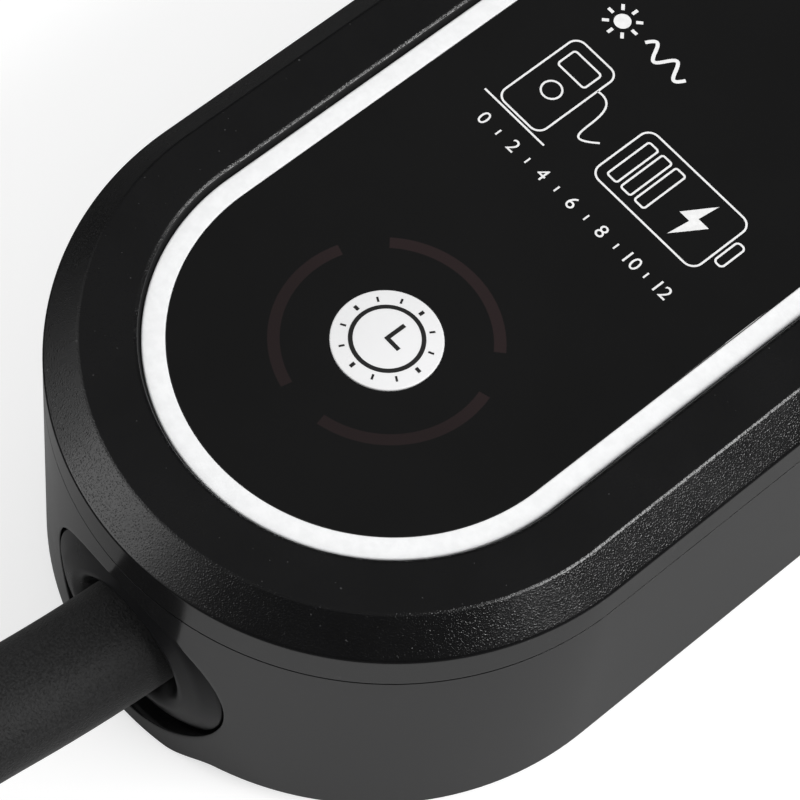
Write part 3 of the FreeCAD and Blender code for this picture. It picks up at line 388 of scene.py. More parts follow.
finish("circuit_board", (0.03, 0.16, 0.07), 0.35, 0.8, 0.006, size=4.0)
finish("component_black", (0.03, 0.03, 0.03), 0.5, 0.4, 0.01)
finish("component_blue", (0.05, 0.12, 0.35), 0.4, 0.6, 0.01)
finish("led_white", (0.85, 0.83, 0.70), 0.25, 0.5, 0.004)
finish("wire_insulation", (0.30, 0.16, 0.08), 0.45, 0.4, 0.006)
finish("steel", (0.55, 0.55, 0.56), 0.32, 0.2, 0.006, size=3.0)
finish("copper", (0.72, 0.45, 0.28), 0.3, 0.2, 0.006, size=3.0)
finish("contact_silver", (0.72, 0.72, 0.70), 0.25, 0.2, 0.004, size=3.0)
for metal in ("steel", "copper", "contact_silver"):
    finishes[metal]["shader"].inputs["Metallic"].default_value = 1.0
print(len(finishes), "finishes")

# %% [markdown]
# The bezel is one moulding with two finishes. Its slope and rim are textured, which dulls them and makes
# single grains glint, and its band above the seam is as glossy as the housing. The mould line between the two
# lies at a fixed height, so the mask is worked out from the height of each point. The groove beside the light
# ring is duller still, so it stays dark beside the bright ring. The window hides three indicator arcs, which
# show through its black as a dim brown: their mask is a ring cut into three spans by the distance and the
# angle from the button's axis.

# %% Rim grain
case_shoulder = 48.6
mould_line = (0.1, 0.4)  # the texture comes in between these heights above the shoulder
rim_grit = 3.8  # height of the grit, in depths of the soft bumps
rim_dulling = 0.08
groove_edge = (0.6, 0.4)  # the groove begins between these distances from the light ring
groove_dulling = 0.35
plain_mirror = 0.5


def middle_line_distance(tree, parts):
    """Distance in plan from the box's middle line, which runs between the axes of its two round ends."""
    past_axis = math_node(tree, "SUBTRACT", math_node(tree, "ABSOLUTE", parts[1]), half_spacing * mm)
    return plan_distance(tree, parts[0], math_node(tree, "MAXIMUM", past_axis, 0.0))


def add_rim_texture(recipe):
    """Texture above the mould line, and a dull groove beside the light ring."""
    tree = recipe["tree"]
    parts = coordinates(tree, recipe["place"])
    textured = step_between(tree, parts[2], *[(case_shoulder + rise) * mm for rise in mould_line])
    tree.links.new(textured, recipe["bump"].inputs["Strength"])
    recipe["grain"].inputs["Grit"].default_value = rim_grit
    rough = math_node(tree, "MULTIPLY_ADD", textured, rim_dulling, recipe["uneven"].outputs["Roughness"])
    from_middle = middle_line_distance(tree, parts)
    in_groove = step_between(tree, from_middle, *[(ring_radius + past) * mm for past in groove_edge])
    rough = math_node(tree, "MULTIPLY_ADD", in_groove, groove_dulling, rough)
    tree.links.new(rough, recipe["shader"].inputs["Roughness"])
    mirror = math_node(tree, "MULTIPLY_ADD", in_groove, -groove_dulling, plain_mirror)
    tree.links.new(mirror, recipe["shader"].inputs["Specular IOR Level"])


add_rim_texture(finishes["rim_textured"])
print("texture from", case_shoulder + mould_line[1], "mm upwards")

# %% Indicator arcs
arc_inner = 14.2
arc_width = 1.7
arc_span = 94.0
arc_count = 3
arc_blur = 0.004  # of each end, in radians
arc_colour = (0.0185, 0.0118, 0.0122, 1)
near_strength = 0.7  # the arcs are this strong at the near end, and come up to full strength
near_fade = (-6.0, 8.0)  # between these distances from the button's axis


def add_indicator_arcs(recipe):
    """Brown where the distance from the button's axis is within the ring, and the angle within a span."""
    tree = recipe["tree"]
    to_button = {"Vector": recipe["place"], "Location": (0, half_spacing * mm, 0)}
    parts = coordinates(tree, add_node(tree, "ShaderNodeMapping", to_button).outputs[0])
    middle = (arc_inner + arc_width / 2) * mm
    distance = plan_distance(tree, parts[0], parts[1])
    off_middle = math_node(tree, "ABSOLUTE", math_node(tree, "SUBTRACT", distance, middle))
    edge = arc_width / 2 * mm
    in_ring = step_between(tree, off_middle, edge * 1.04, edge * 0.9)
    angle = math_node(tree, "ARCTAN2", parts[1], parts[0])
    pitch = 2 * math.pi / arc_count
    from_middle = math_node(tree, "PINGPONG", math_node(tree, "SUBTRACT", angle, math.pi / 2), pitch / 2)
    half_span = math.radians(arc_span) / 2
    in_span = step_between(tree, from_middle, half_span + arc_blur, half_span - arc_blur)
    mask = math_node(tree, "MULTIPLY", in_ring, in_span)
    away = step_between(tree, parts[1], *[past * mm for past in near_fade])
    strength = math_node(tree, "MULTIPLY_ADD", away, 1 - near_strength, near_strength)
    mask = math_node(tree, "MULTIPLY", mask, strength)
    colour = mix_colour(tree, mask, recipe["uneven"].outputs["Colour"], arc_colour)
    tree.links.new(colour, recipe["shader"].inputs["Base Color"])


add_indicator_arcs(finishes["window"])
print("arcs from", arc_inner, "to", arc_inner + arc_width, "mm round the button")

# %% [markdown]
# White plastic lets light in a little, so its edges look soft. The cable's rubber has a faint sheen, and grit
# on its grain, as the rim has.

# %% White plastic and rubber
cable_grit = 2.5
cable_sheen = 0.08
light_depth = 0.8  # how far light goes into white plastic
for name, weight in (("light_guide", 0.25), ("button_white", 0.1)):
    inputs = finishes[name]["shader"].inputs
    inputs["Subsurface Weight"].default_value = weight
    inputs["Subsurface Scale"].default_value = light_depth * mm
    inputs["Subsurface Radius"].default_value = (1.0, 1.0, 1.0)
finishes["cable_rubber"]["shader"].inputs["Sheen Weight"].default_value = cable_sheen
finishes["cable_rubber"]["grain"].inputs["Grit"].default_value = cable_grit
print("soft light in the light guide and the button, grit", cable_grit, "on the cable")

# %% [markdown]
# New surfaces are grids of points worked out with numpy. A patch is an array of rows and columns of points,
# and its faces join neighbours. Several patches make one skin once their shared edges are merged. Corners of
# a profile are arcs with a short flat shoulder beside them, which keeps the shading of the flats clean.

# %% Patches and profiles
def grid_of(x, y, z):
    """Grid of points from three arrays, each repeated along the directions in which it has one entry."""
    return np.stack(np.broadcast_arrays(x, y, z), axis=-1)


def patch_faces(rows, columns, wrap_rows, wrap_columns):
    """Four-sided faces between neighbouring points of a grid, counted row by row."""
    row = np.arange(rows if wrap_rows else rows - 1)[:, None]
    column = np.arange(columns if wrap_columns else columns - 1)[None, :]
    next_row = (row + 1) % rows
    next_column = (column + 1) % columns
    corners = [row * columns + column, row * columns + next_column]
    corners += [next_row * columns + next_column, next_row * columns + column]
    return np.stack(corners, axis=-1).reshape(-1, 4)


def skin(name, patches, extra=(), crease=32):
    """Mesh from patches of points in mm, each as (points, wrap rows, wrap columns), and extra meshes."""
    work = bmesh.new()
    for points, wrap_rows, wrap_columns in patches:
        mesh = bpy.data.meshes.new("patch")
        rows, columns = points.shape[:2]
        faces = patch_faces(rows, columns, wrap_rows, wrap_columns)
        mesh.from_pydata((points.reshape(-1, 3) * mm).tolist(), [], faces.tolist())
        work.from_mesh(mesh)
        bpy.data.meshes.remove(mesh)
    for mesh in extra:
        work.from_mesh(mesh)
    bmesh.ops.remove_doubles(work, verts=work.verts, dist=0.002 * mm)
    bmesh.ops.dissolve_degenerate(work, edges=work.edges, dist=0.0005 * mm)
    bmesh.ops.recalc_face_normals(work, faces=work.faces)
    mesh = bpy.data.meshes.new(name)
    work.to_mesh(mesh)
    open_edges = sum(edge.is_boundary for edge in work.edges)
    print(name, len(mesh.polygons), "faces, volume", round(work.calc_volume() / mm**3), "open", open_edges)
    work.free()
    mesh.shade_smooth()
    mesh.set_sharp_from_angle(angle=math.radians(crease))
    return mesh


def add_piece(name, mesh, recipe, body="case", stands_for=()):
    """Puts a finished mesh into the scene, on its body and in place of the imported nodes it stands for."""
    piece = placed(name, mesh)
    mesh.materials.append(finishes[recipe]["material"])
    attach(piece, body)
    if stands_for:
        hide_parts(*stands_for)
    return piece


def soft_profile(corners, closed=True, steps=4, shoulder=0.12):
    """Profile from corners (distance, height, radius). Each corner with a radius becomes an arc tangent to
    both its sides, found by turning the first tangent point round the arc's centre, with a point on each side
    a shoulder away from the arc."""
    places = np.array([corner[:2] for corner in corners], float)
    count = len(corners)
    made = []
    for k, corner in enumerate(corners):
        radius = corner[2] if len(corner) > 2 else 0
        here = places[k]
        if radius == 0 or (not closed and k in (0, count - 1)):
            made.append(here[None])
            continue
        back = places[k - 1] - here
        forth = places[(k + 1) % count] - here
        back /= np.linalg.norm(back)
        forth /= np.linalg.norm(forth)
        half = math.acos(np.clip(back @ forth, -1, 1)) / 2
        reach = radius / math.tan(half)
        middle = back + forth
        centre = here + middle / np.linalg.norm(middle) * radius / math.sin(half)
        spoke = here + back * reach - centre
        side = np.sign(back[1] * forth[0] - back[0] * forth[1])
        turn = np.linspace(0, side * (math.pi - 2 * half), steps + 1)
        arc_x = spoke[0] * np.cos(turn) - spoke[1] * np.sin(turn)
        arc_y = spoke[0] * np.sin(turn) + spoke[1] * np.cos(turn)
        made.append((here + back * (reach + shoulder))[None])
        made.append(centre + np.stack([arc_x, arc_y], axis=1))
        made.append((here + forth * (reach + shoulder))[None])
    return np.concatenate(made)


def carried_round(profile, end_steps=120, side_steps=10):
    """A profile of (distance from the middle line, height) carried once round the case's plan: the plan point
    is centre + distance * (cos a, sin a), where the centre moves along the straight sides while a stands
    still, and a turns half a circle at each end while the centre stands still."""
    end = np.linspace(0, math.pi, end_steps, endpoint=False)
    side = np.linspace(-half_spacing, half_spacing, side_steps, endpoint=False)
    turn = np.concatenate([end + math.pi, np.zeros(side_steps), end, np.full(side_steps, math.pi)])
    ends = np.full(end_steps, half_spacing)
    centre = np.concatenate([-ends, side, ends, -side])
    distance, height = profile.T
    x = distance * np.cos(turn)[:, None]
    y = centre[:, None] + distance * np.sin(turn)[:, None]
    return grid_of(x, y, height), True, True


def in_stretches(stops, counts):
    """Values at equal steps between each two stops, from the first stop on and without the last one."""
    spans = zip(stops[:-1], stops[1:], counts)
    return np.concatenate([np.linspace(start, stop, count, endpoint=False) for start, stop, count in spans])


def turned_upright(profile, x, y, steps=128):
    """A profile of (radius, height) turned round an upright axis."""
    turn = np.linspace(0, 2 * math.pi, steps, endpoint=False)[:, None]
    radius, height = profile.T
    return grid_of(x + radius * np.cos(turn), y + radius * np.sin(turn), height), True, False


# %% [markdown]
# The bezel closes the box. Its section was drawn once: band, slope, a narrow flat that catches a line of
# light, rim, the bevel that leads down to the light ring, the ledge under the ring, and the tongue that
# locates it in the housing. Carrying that section round the plan gives the whole moulding. The small groove
# at its foot is half of the seam's shadow line, and the housing has the other half.

# %% Bezel
slope_width = 4.75
rim_tilt = 0.1
rim_flat = 0.42  # size of the narrow flat between slope and rim
flat_outwards = 0.55 * rim_flat
flat_down = 0.52 * rim_flat
flat_inwards = 0.3 * rim_flat
rim_bevel = 1.0
edge_run = 0.45  # the rim's inner edge: a short slant, then a steep wall down to the light ring
edge_drop = 0.27
ring_gap = 0.15
seam_gap = 0.14  # half height of the fine groove at the seam
seam_depth = 0.3
bezel_skin = 2.7
wall = 3.0
rim_outer = case_radius - slope_width
slant_top = ring_radius + rim_bevel
ring_pocket = ring_radius + ring_gap
ring_pocket_wall = ring_pocket + bezel_skin
ledge_reach = ring_pocket - 2.75
ledge_bottom = ring_low[2] - 2.0
under_rim = rim_height - bezel_skin
inner_rim = rim_outer - 1.1
inner_shoulder = case_shoulder - 0.8
inner_wall = case_radius - 3.1
tongue_outer = case_radius - wall - 0.3
tongue_inner = tongue_outer - 2.3
tongue_root = seam_height + 1.5
bezel_profile = soft_profile(
    [
        (case_radius - seam_depth, seam_height),
        (case_radius - seam_depth, seam_height + seam_gap),
        (case_radius, seam_height + seam_gap, 0.03),
        (case_radius, case_shoulder, 0.7),
        (rim_outer + flat_outwards, rim_height - rim_tilt - flat_down, 0.4),
        (rim_outer - flat_inwards, rim_height - rim_tilt, 0.4),
        (slant_top, rim_height, 0.5),
        (slant_top - edge_run, rim_height - edge_drop, 0.2),
        (ring_pocket, ring_high[2] - ring_gap, 0.05),
        (ring_pocket, ring_low[2]),
        (ledge_reach, ring_low[2]),
        (ledge_reach, ledge_bottom),
        (ring_pocket_wall, ledge_bottom),
        (ring_pocket_wall, under_rim),
        (inner_rim, under_rim),
        (inner_wall, inner_shoulder),
        (inner_wall, tongue_root + 1.5),
        (tongue_inner, tongue_root),
        (tongue_inner, bezel_low[2]),
        (tongue_outer, bezel_low[2]),
        (tongue_outer, seam_height),
    ]
)
bezel = skin("bezel", [carried_round(bezel_profile)])
add_piece("bezel", bezel, "rim_textured", stands_for=["top_bezel"])

# %% [markdown]
# The light ring is a frosted light guide. Only its top shows, 3.2 mm wide with softly rounded edges, a little
# below the rim. Its foot goes under the window and carries it.

# %% Light ring
ring_width = 3.2
ring_inner = ring_radius - ring_width
foot_inner = ring_inner - 2.5
ring_profile = soft_profile(
    [
        (ring_radius, ring_low[2]),
        (ring_radius, ring_high[2], 0.25),
        (ring_inner, ring_high[2], 0.15),
        (ring_inner, panel_low[2]),
        (foot_inner, panel_low[2]),
        (foot_inner, ring_low[2]),
    ]
)
ring = skin("ring", [carried_round(ring_profile)])
add_piece("ring", ring, "light_guide", stands_for=["light_ring"])

# %% [markdown]
# The window is a flat black plate with the ring's plan and a round hole for the button. A grid of rays from
# the button's axis covers it: along each ray the points go from the hole's edge to the plate's outline, over
# both softened edges and back underneath, so the plate is one closed surface.

# %% Window
window_radius = panel_high[0]
button_hole = 7.76
edge_round = 0.14
edge_shoulder = 0.08  # narrow flat beside the softened edge, which keeps the mirror of the plate flat
button_y = -half_spacing


def window_reach(angle, radius):
    """Distance along a ray from the button's axis to the plate's outline: the near round end's radius, then
    the straight side, then the far round end, where the ray meets a circle about the far axis."""
    spacing = 2 * half_spacing
    to_side = radius / np.maximum(np.abs(np.cos(angle)), 1e-9)
    under_root = np.maximum(radius**2 - (spacing * np.cos(angle)) ** 2, 0)
    to_far_end = spacing * np.sin(angle) + np.sqrt(under_root)
    reach = np.where(to_side * np.sin(angle) <= spacing, to_side, to_far_end)
    return np.where(np.sin(angle) <= 0, radius, reach)


def window_patch():
    """Rays from the button's axis, each point at the axis plus a distance times (cos a, sin a). A ray goes up
    the hole's wall, over its soft edge, out to the plate's edge and down again, so the second half of its
    section is the first one backwards."""
    far_corner = math.atan2(2 * half_spacing, window_radius)
    stops = [0, far_corner, math.pi - far_corner, math.pi, 2 * math.pi]
    angle = in_stretches(stops, [24, 96, 24, 120])
    reach = window_reach(angle, window_radius)[:, None]
    low, high = panel_low[2], panel_high[2]
    drop = edge_round * (1 - math.cos(math.pi / 4))
    section = [
        (0, low),
        (0, high - edge_round - edge_shoulder),
        (0, high - edge_round),
        (drop, high - drop),
        (edge_round, high),
        (edge_round + edge_shoulder, high),
    ]
    inset, height = np.array(section).T
    distance = np.concatenate([button_hole + inset + 0 * reach, reach - inset[::-1]], axis=1)
    x = distance * np.cos(angle)[:, None]
    y = button_y + distance * np.sin(angle)[:, None]
    return grid_of(x, y, np.append(height, height[::-1])), True, True


window = skin("window", [window_patch()])
add_piece("window", window, "window", stands_for=["front_panel"])

# %% [markdown]
# The push button is a turned form: a crowned white cap, a lip that keeps it under the window, and a stem down
# to the switch. It rides on its own body, so it goes down when the joint does.

# %% Push button
button_radius = 7.64
button_edge = 52.4
edge_start = button_radius - 0.25
lip_radius = button_radius + 1.6
lip_top = 49.6
lip_bottom = 48.4
stem_radius = 2.5
crown = button_high[2] - button_edge


def crown_at(distance):
    """Height of the cap at a distance from its axis: it falls with the square of the distance."""
    return button_high[2] - crown * (distance / button_radius) ** 2


crown_radius = np.linspace(0, edge_start, 12)
crown_line = np.stack([crown_radius, crown_at(crown_radius)], axis=1)
cap_edge = soft_profile(
    [
        (edge_start, crown_at(edge_start)),
        (button_radius, button_edge, 0.18),
        (button_radius, lip_top),
        (lip_radius, lip_top),
        (lip_radius, lip_bottom),
        (stem_radius, lip_bottom),
        (stem_radius, button_low[2]),
        (0, button_low[2]),
    ],
    closed=False,
    shoulder=0.05,
)
button_profile = np.concatenate([crown_line[:-1], cap_edge])
button = skin("button", [turned_upright(button_profile, 0, button_y)])
add_piece("button", button, "button_white", body="button", stands_for=["button_cap"])

# %% [markdown]
# The lower housing is a deep tub whose round ends are pierced for the cable glands. A plain sweep can't make
# the pierced ends, so each end is built from columns. Beside the opening the wall is the plain sweep. Above
# and below the opening each column runs from the circle of the opening to the seam or to the foot, and the
# foot's bevel is filled out where a round collar about the gland's axis runs down to the floor. The inside
# is built in the same way, with a flat land for the gland's flange, a floor, and a tower round each screw,
# so the mesh is closed like the real wall. One quarter is worked out and mirrored twice.

# %% Sizes of the lower housing
foot_bevel = 3.2
gland_height = 20.3
opening_radius = 17.2
opening_round = 0.25
opening_straight = 1.0  # depth of a short straight stretch behind the opening's soft edge
land_reach = 37.08  # from the end's axis to the flat land that the gland's flange is drawn against
land_top = bezel_low[2] - 0.3
floor_top = 3.0
lobe_start = 8.3  # half width of the lobe under the gland, on the floor
lobe_end = 16.7  # and where the bevel has its full height
foot_radius = case_radius - foot_bevel
opening_edge = opening_radius + opening_round
wall_top = seam_height - 3 * seam_gap
print("wall", wall, "mm thick, opening", 2 * opening_radius, "mm wide")


# %% Where the columns stand
stretch_counts = [12, 18, 10]  # columns on the lobe, on its flank and past it
flank_first = stretch_counts[0]
flank_last = flank_first + stretch_counts[1]
stretch_stops = [0, math.asin(lobe_start / opening_edge), math.asin(lobe_end / opening_edge), math.pi / 2]
round_opening = np.append(in_stretches(stretch_stops, stretch_counts), math.pi / 2)
column_x = opening_edge * np.sin(round_opening)
side_turn = np.linspace(math.asin(opening_edge / case_radius), math.pi / 2, 40)
wall_turn = np.append(np.arcsin(column_x / case_radius), side_turn[1:])
side_y = np.linspace(-half_spacing, 0, 8)
print(len(wall_turn), "columns round half an end,", len(side_y), "along half a side")


# %% Tools for the housing's wall
def wall_y(x, radius=case_radius):
    """Y of the near end's wall, a circle about the end's axis."""
    return -half_spacing - np.sqrt(radius**2 - x**2)


def round_end(radius, turn, height):
    """Grid at a distance from the near end's axis, turned by an angle from -Y, and at a height."""
    return grid_of(radius * np.sin(turn), -half_spacing - radius * np.cos(turn), height)


def foot_height(x):
    """Height of the wall's lower edge: on the floor under the gland, then up to the bevel in an S."""
    share = np.clip((x - lobe_start) / (lobe_end - lobe_start), 0, 1)
    return foot_bevel * share**2 * (3 - 2 * share)


def column_grid(x, y, z_low, z_high, rows):
    """Upright columns between two heights, each of them one value or a value for every column."""
    low = np.broadcast_to(z_low, x.shape)[:, None]
    high = np.broadcast_to(z_high, x.shape)[:, None]
    return grid_of(x[:, None], y[:, None], low + (high - low) * np.linspace(0, 1, rows))


def pierced_wall(x, y, half_height, foot, top, rows_above, rows_below):
    """Columns above and below the opening, and the heights of the points of the last column, beside it."""
    above = column_grid(x, y, gland_height + half_height, top, rows_above)
    below = column_grid(x, y, foot, gland_height - half_height, rows_below)
    return above, below, np.concatenate([below[-1, :-1, 2], above[-1, :, 2]])


# %% Outside of a quarter
def outer_wall():
    """Columns above and below the opening, full columns beside it, and the straight side."""
    half_height = opening_edge * np.cos(round_opening)
    foot = foot_height(column_x)
    above, below, levels = pierced_wall(column_x, wall_y(column_x), half_height, foot, wall_top, 12, 10)
    end_x = case_radius * np.sin(side_turn)
    end_wall = grid_of(end_x[:, None], wall_y(end_x)[:, None], levels)
    return [above, below, end_wall, grid_of(case_radius, side_y[:, None], levels)]


def seam_edge():
    """The seam's groove, the top of the wall and its inner face, round the end and along the side."""
    corners = [
        (case_radius, wall_top),
        (case_radius, seam_height - seam_gap, 0.03),
        (case_radius - seam_depth, seam_height - seam_gap),
        (case_radius - seam_depth, seam_height),
        (case_radius - wall, seam_height),
        (case_radius - wall, bezel_low[2]),
    ]
    radius, height = soft_profile(corners, closed=False, shoulder=0.05).T
    return [round_end(radius, wall_turn[:, None], height), grid_of(radius, side_y[:, None], height)]


def foot_patches():
    """The bevel's rows start on the lobe's flank, each at its own height, and run round the end and along the
    side at the foot's radius plus that height. The collar's flank joins them to the wall above the lobe."""
    flank = column_x[flank_first : flank_last + 1, None]
    height = foot_height(flank)
    radius = foot_radius + height
    outer_turn = wall_turn[flank_last:]
    share = (outer_turn - outer_turn[0]) / (math.pi / 2 - outer_turn[0])
    start = np.arcsin(flank / radius)
    bevel_end = round_end(radius, start + (math.pi / 2 - start) * share, height)
    collar_y = np.append(wall_y(flank, radius), wall_y(flank), axis=1)
    return [bevel_end, grid_of(radius, side_y, height), grid_of(flank, collar_y, height)]


def opening_band():
    """Round the opening: a soft edge that follows the curved wall, a short straight stretch, and the way on
    to the flat land."""
    angle = np.append(round_opening, math.pi - round_opening[-2::-1])[:, None]
    turn = np.linspace(0, math.pi / 2, 4)
    radius = opening_radius + opening_round * np.append(1 - np.sin(turn), [0, 0])
    x = radius * np.sin(angle)
    y = wall_y(x) + np.append(opening_round * (1 - np.cos(turn)), [opening_straight, 0])
    y[:, -1] = -half_spacing - land_reach
    return grid_of(x, y, gland_height + radius * np.cos(angle))


# %% Inside of a quarter
def inner_patches(seam_foot):
    """The inner wall is the outer one's circle less the wall, cut off by the flat land, whose top is a ledge,
    and its columns end at the opening's circle as the outer ones do. The last of the patches is that ledge,
    from the seam's inner face to the land."""
    radius = case_radius - wall
    near = len(round_opening)
    beyond = np.linspace(math.asin(opening_radius / radius), math.pi / 2, len(side_turn))
    turn = np.append(np.arcsin(opening_radius * np.sin(round_opening) / radius), beyond[1:])
    wall_line = round_end(radius, turn, land_top)
    x = wall_line[:, 0]
    y = -half_spacing - np.minimum(radius * np.cos(turn), land_reach)
    half_height = opening_radius * np.cos(round_opening)
    above, below, levels = pierced_wall(x[:near], y[:near], half_height, floor_top, land_top, 8, 8)
    end_wall = grid_of(x[near - 1 :, None], y[near - 1 :, None], levels)
    side_wall = grid_of(radius, side_y[:, None], np.append(levels, bezel_low[2]))
    ledge = np.stack([seam_foot, wall_line, grid_of(x, y, land_top)], axis=1)
    return [above, below, end_wall, side_wall, ledge]


# %% One quarter of the housing
seam_end, seam_side = seam_edge()
bevel_end, bevel_side, collar_flank = foot_patches()
inner = inner_patches(seam_end[:, -1])
quarter = outer_wall() + [seam_end, seam_side, bevel_end, bevel_side, collar_flank, opening_band()] + inner
lobe_x = column_x[: flank_first + 1]
lobe_line = np.stack([lobe_x, wall_y(lobe_x)], axis=-1)
foot_line = np.concatenate([lobe_line, bevel_end[0, :, :2], bevel_side[0, 1:, :2]])
floor_line = np.concatenate([inner[4][:, -1, :2], inner[3][1:, 0, :2]])
print(len(quarter), "patches in a quarter")

# %% Screw towers, plates and the whole housing
screw_side = 38.5
screw_pitch = 48.0
screw_spots = [(side * screw_side, row * screw_pitch) for side in (-1, 1) for row in (-1, 0, 1)]
well_radius = 3.6
well_depth = 5.8
screw_hole = 1.7
tower_radius = 3.95
tower_steps = 48


def mesh_of_curve(curve):
    """Mesh of a flat curve or a text, worked out on an object that is then removed."""
    holder = placed(curve.name, curve)
    mesh = bpy.data.meshes.new_from_object(holder.evaluated_get(bpy.context.evaluated_depsgraph_get()))
    bpy.data.objects.remove(holder)
    return mesh


def flat_plate(quarter, hole_radius, height):
    """Flat face inside an outline given by its quarter, with the towers' circles left open, as a filled flat
    curve."""
    near = np.concatenate([quarter[:0:-1] * [-1, 1], quarter])
    far = (near * [1, -1])[::-1]
    turn = np.linspace(0, 2 * math.pi, tower_steps, endpoint=False)
    circle = hole_radius * np.stack([np.cos(turn), np.sin(turn)], axis=-1)
    curve = bpy.data.curves.new("plate", "CURVE")
    curve.dimensions = "2D"
    curve.fill_mode = "FRONT"
    for line in [np.concatenate([near, far[1:-1]])] + [circle + spot for spot in screw_spots]:
        spline = curve.splines.new("POLY")
        spline.points.add(len(line) - 1)
        spots = np.concatenate([line * mm, np.zeros((len(line), 1)), np.ones((len(line), 1))], axis=1)
        spline.points.foreach_set("co", spots.ravel())
        spline.use_cyclic_u = True
    mesh = mesh_of_curve(curve)
    mesh.transform(Matrix.Translation((0, 0, height * mm)))
    return mesh


tower_profile = np.array(
    [
        (well_radius, 0),
        (well_radius, well_depth),
        (screw_hole, well_depth),
        (screw_hole, land_top),
        (tower_radius, land_top),
        (tower_radius, floor_top),
    ]
)
housing_patches = [turned_upright(tower_profile, *spot, steps=tower_steps) for spot in screw_spots]
for mirror in ((1, 1, 1), (1, -1, 1), (-1, 1, 1), (-1, -1, 1)):
    housing_patches.extend((grid * mirror, False, False) for grid in quarter)
plates = [flat_plate(foot_line, well_radius, 0.0), flat_plate(floor_line, tower_radius, floor_top)]
housing = skin("housing", housing_patches, extra=plates, crease=28)
add_piece("housing", housing, "case_gloss", stands_for=["lower_housing"])

# %% [markdown]
# A gland leads the cable through the wall: a bush with a crowned face, a deep mouth, and a flange inside
# that is drawn against the land. It is turned about the cable's axis, and its underside is cut flat above
# the floor of the tub, which is done by lifting every point that is lower.

# %% Glands
gland_rim = opening_radius - 0.3
gland_rim_y = half_spacing + math.sqrt(case_radius**2 - gland_rim**2)
gland_flat = gland_low[2]
mouth_radius = 10.6
mouth_rise = 2.7  # the mouth stands this far before the rim
crown_bend = (14.4, -1.5, 5.0)  # where the face bends over towards the rim
bore_radius = 8.6
bore_start = 0.9
seal_thickness = 1.0
flange_thickness = 2.5
flange_front = gland_rim_y - half_spacing - land_reach + seal_thickness
flange_back = flange_front + flange_thickness
flange_radius = 20.5
neck_radius = 13.5
gland_length = 16.0
gland_profile = soft_profile(
    [
        (mouth_radius, -mouth_rise, 1.4),
        crown_bend,
        (gland_rim, 0, 0.7),
        (gland_rim, flange_front),
        (flange_radius, flange_front),
        (flange_radius, flange_back),
        (neck_radius, flange_back),
        (neck_radius, gland_length),
        (bore_radius, gland_length),
        (bore_radius, bore_start, 1.0),
    ],
    shoulder=0.1,
)


def gland_patch(end):
    """Turned about the cable's axis: sideways radius * cos, upwards radius * sin, inwards from the rim."""
    turn = np.linspace(0, 2 * math.pi, 128, endpoint=False)[:, None]
    radius, inwards = gland_profile.T
    z = np.maximum(gland_height + radius * np.sin(turn), gland_flat)
    return grid_of(radius * np.cos(turn), end * (gland_rim_y - inwards), z), True, True


for name, end in (("lead_gland", -1), ("supply_gland", 1)):
    mesh = skin(name + "_bush", [gland_patch(end)])
    add_piece(name + "_bush", mesh, "gland_satin", stands_for=[name])

# %% [markdown]
# The symbols on the window and the button are generic: a row of hours with ticks, a battery with a bolt that
# a charging post feeds, a sun and a wave, and a clock face on the button. Ink is a few hundredths of a
# millimetre thick, so each line is a flat box section carried along its path, and the numbers are Blender's
# own text made into meshes.

# %% Ink lines
ink_height = 0.03
ink_sink = 0.005  # into the surface, so that no gap shows under the ink
digit_share = 0.7  # height of a digit, as a share of the text size


def at_height(path, height):
    """A path of (x, y) as points of one height."""
    return grid_of(path[:, 0], path[:, 1], height)


def ink_line(path, width, closed=False):
    """Flat box section along a path of (x, y): the corners lie half a width to each side of the path, at
    right angles to its direction, and an open line's ends close on the path."""
    path = np.asarray(path, float)
    along = np.roll(path, -1, 0) - np.roll(path, 1, 0) if closed else np.gradient(path, axis=0)
    along /= np.linalg.norm(along, axis=1)[:, None]
    across = np.stack([-along[:, 1], along[:, 0]], axis=1) * width / 2
    box = ((-1, 0), (-1, ink_height), (1, ink_height), (1, 0))
    grid = np.stack([at_height(path + side * across, height) for side, height in box], axis=1)
    if not closed:
        first, last = np.repeat(at_height(path[[0, -1]], ink_height / 2)[:, None, None], 4, axis=2)
        grid = np.concatenate([first, grid, last])
    return grid, closed, True


def ink_field(outline):
    """Filled flat shape: rows from its middle out to the outline, down its edge and back to the middle."""
    outline = np.asarray(outline, float)
    middle = np.repeat(outline.mean(axis=0)[None], len(outline), axis=0)
    rows = ((middle, ink_height), (outline, ink_height), (outline, 0), (middle, 0))
    return np.stack([at_height(line, height) for line, height in rows]), False, True


def straight(start, end, steps=2):
    """Points of a straight line."""
    return np.linspace(start, end, steps)


def ray(centre, turn, inner, outer, steps=2):
    """Short line that points away from a centre, at an angle in radians."""
    way = np.array([math.cos(turn), math.sin(turn)])
    return straight(way * inner + centre, way * outer + centre, steps)


def arc_path(centre, radius, start, end, steps=48):
    """Points of a circle between two angles in degrees."""
    turn = np.radians(np.linspace(start, end, steps))
    return np.stack([centre[0] + radius * np.cos(turn), centre[1] + radius * np.sin(turn)], axis=1)


def circle_path(centre, radius, steps=48):
    """Points of a whole circle, each of them once."""
    return arc_path(centre, radius, 0, 360, steps)[:-1]


def rounded_box(x0, y0, x1, y1, radius):
    """Outline of a box with round corners: four quarter circles, joined by the closing lines."""
    corners = [(x1 - radius, y1 - radius, 0), (x0 + radius, y1 - radius, 90)]
    corners += [(x0 + radius, y0 + radius, 180), (x1 - radius, y0 + radius, 270)]
    return np.concatenate([arc_path((x, y), radius, start, start + 90, 8) for x, y, start in corners])


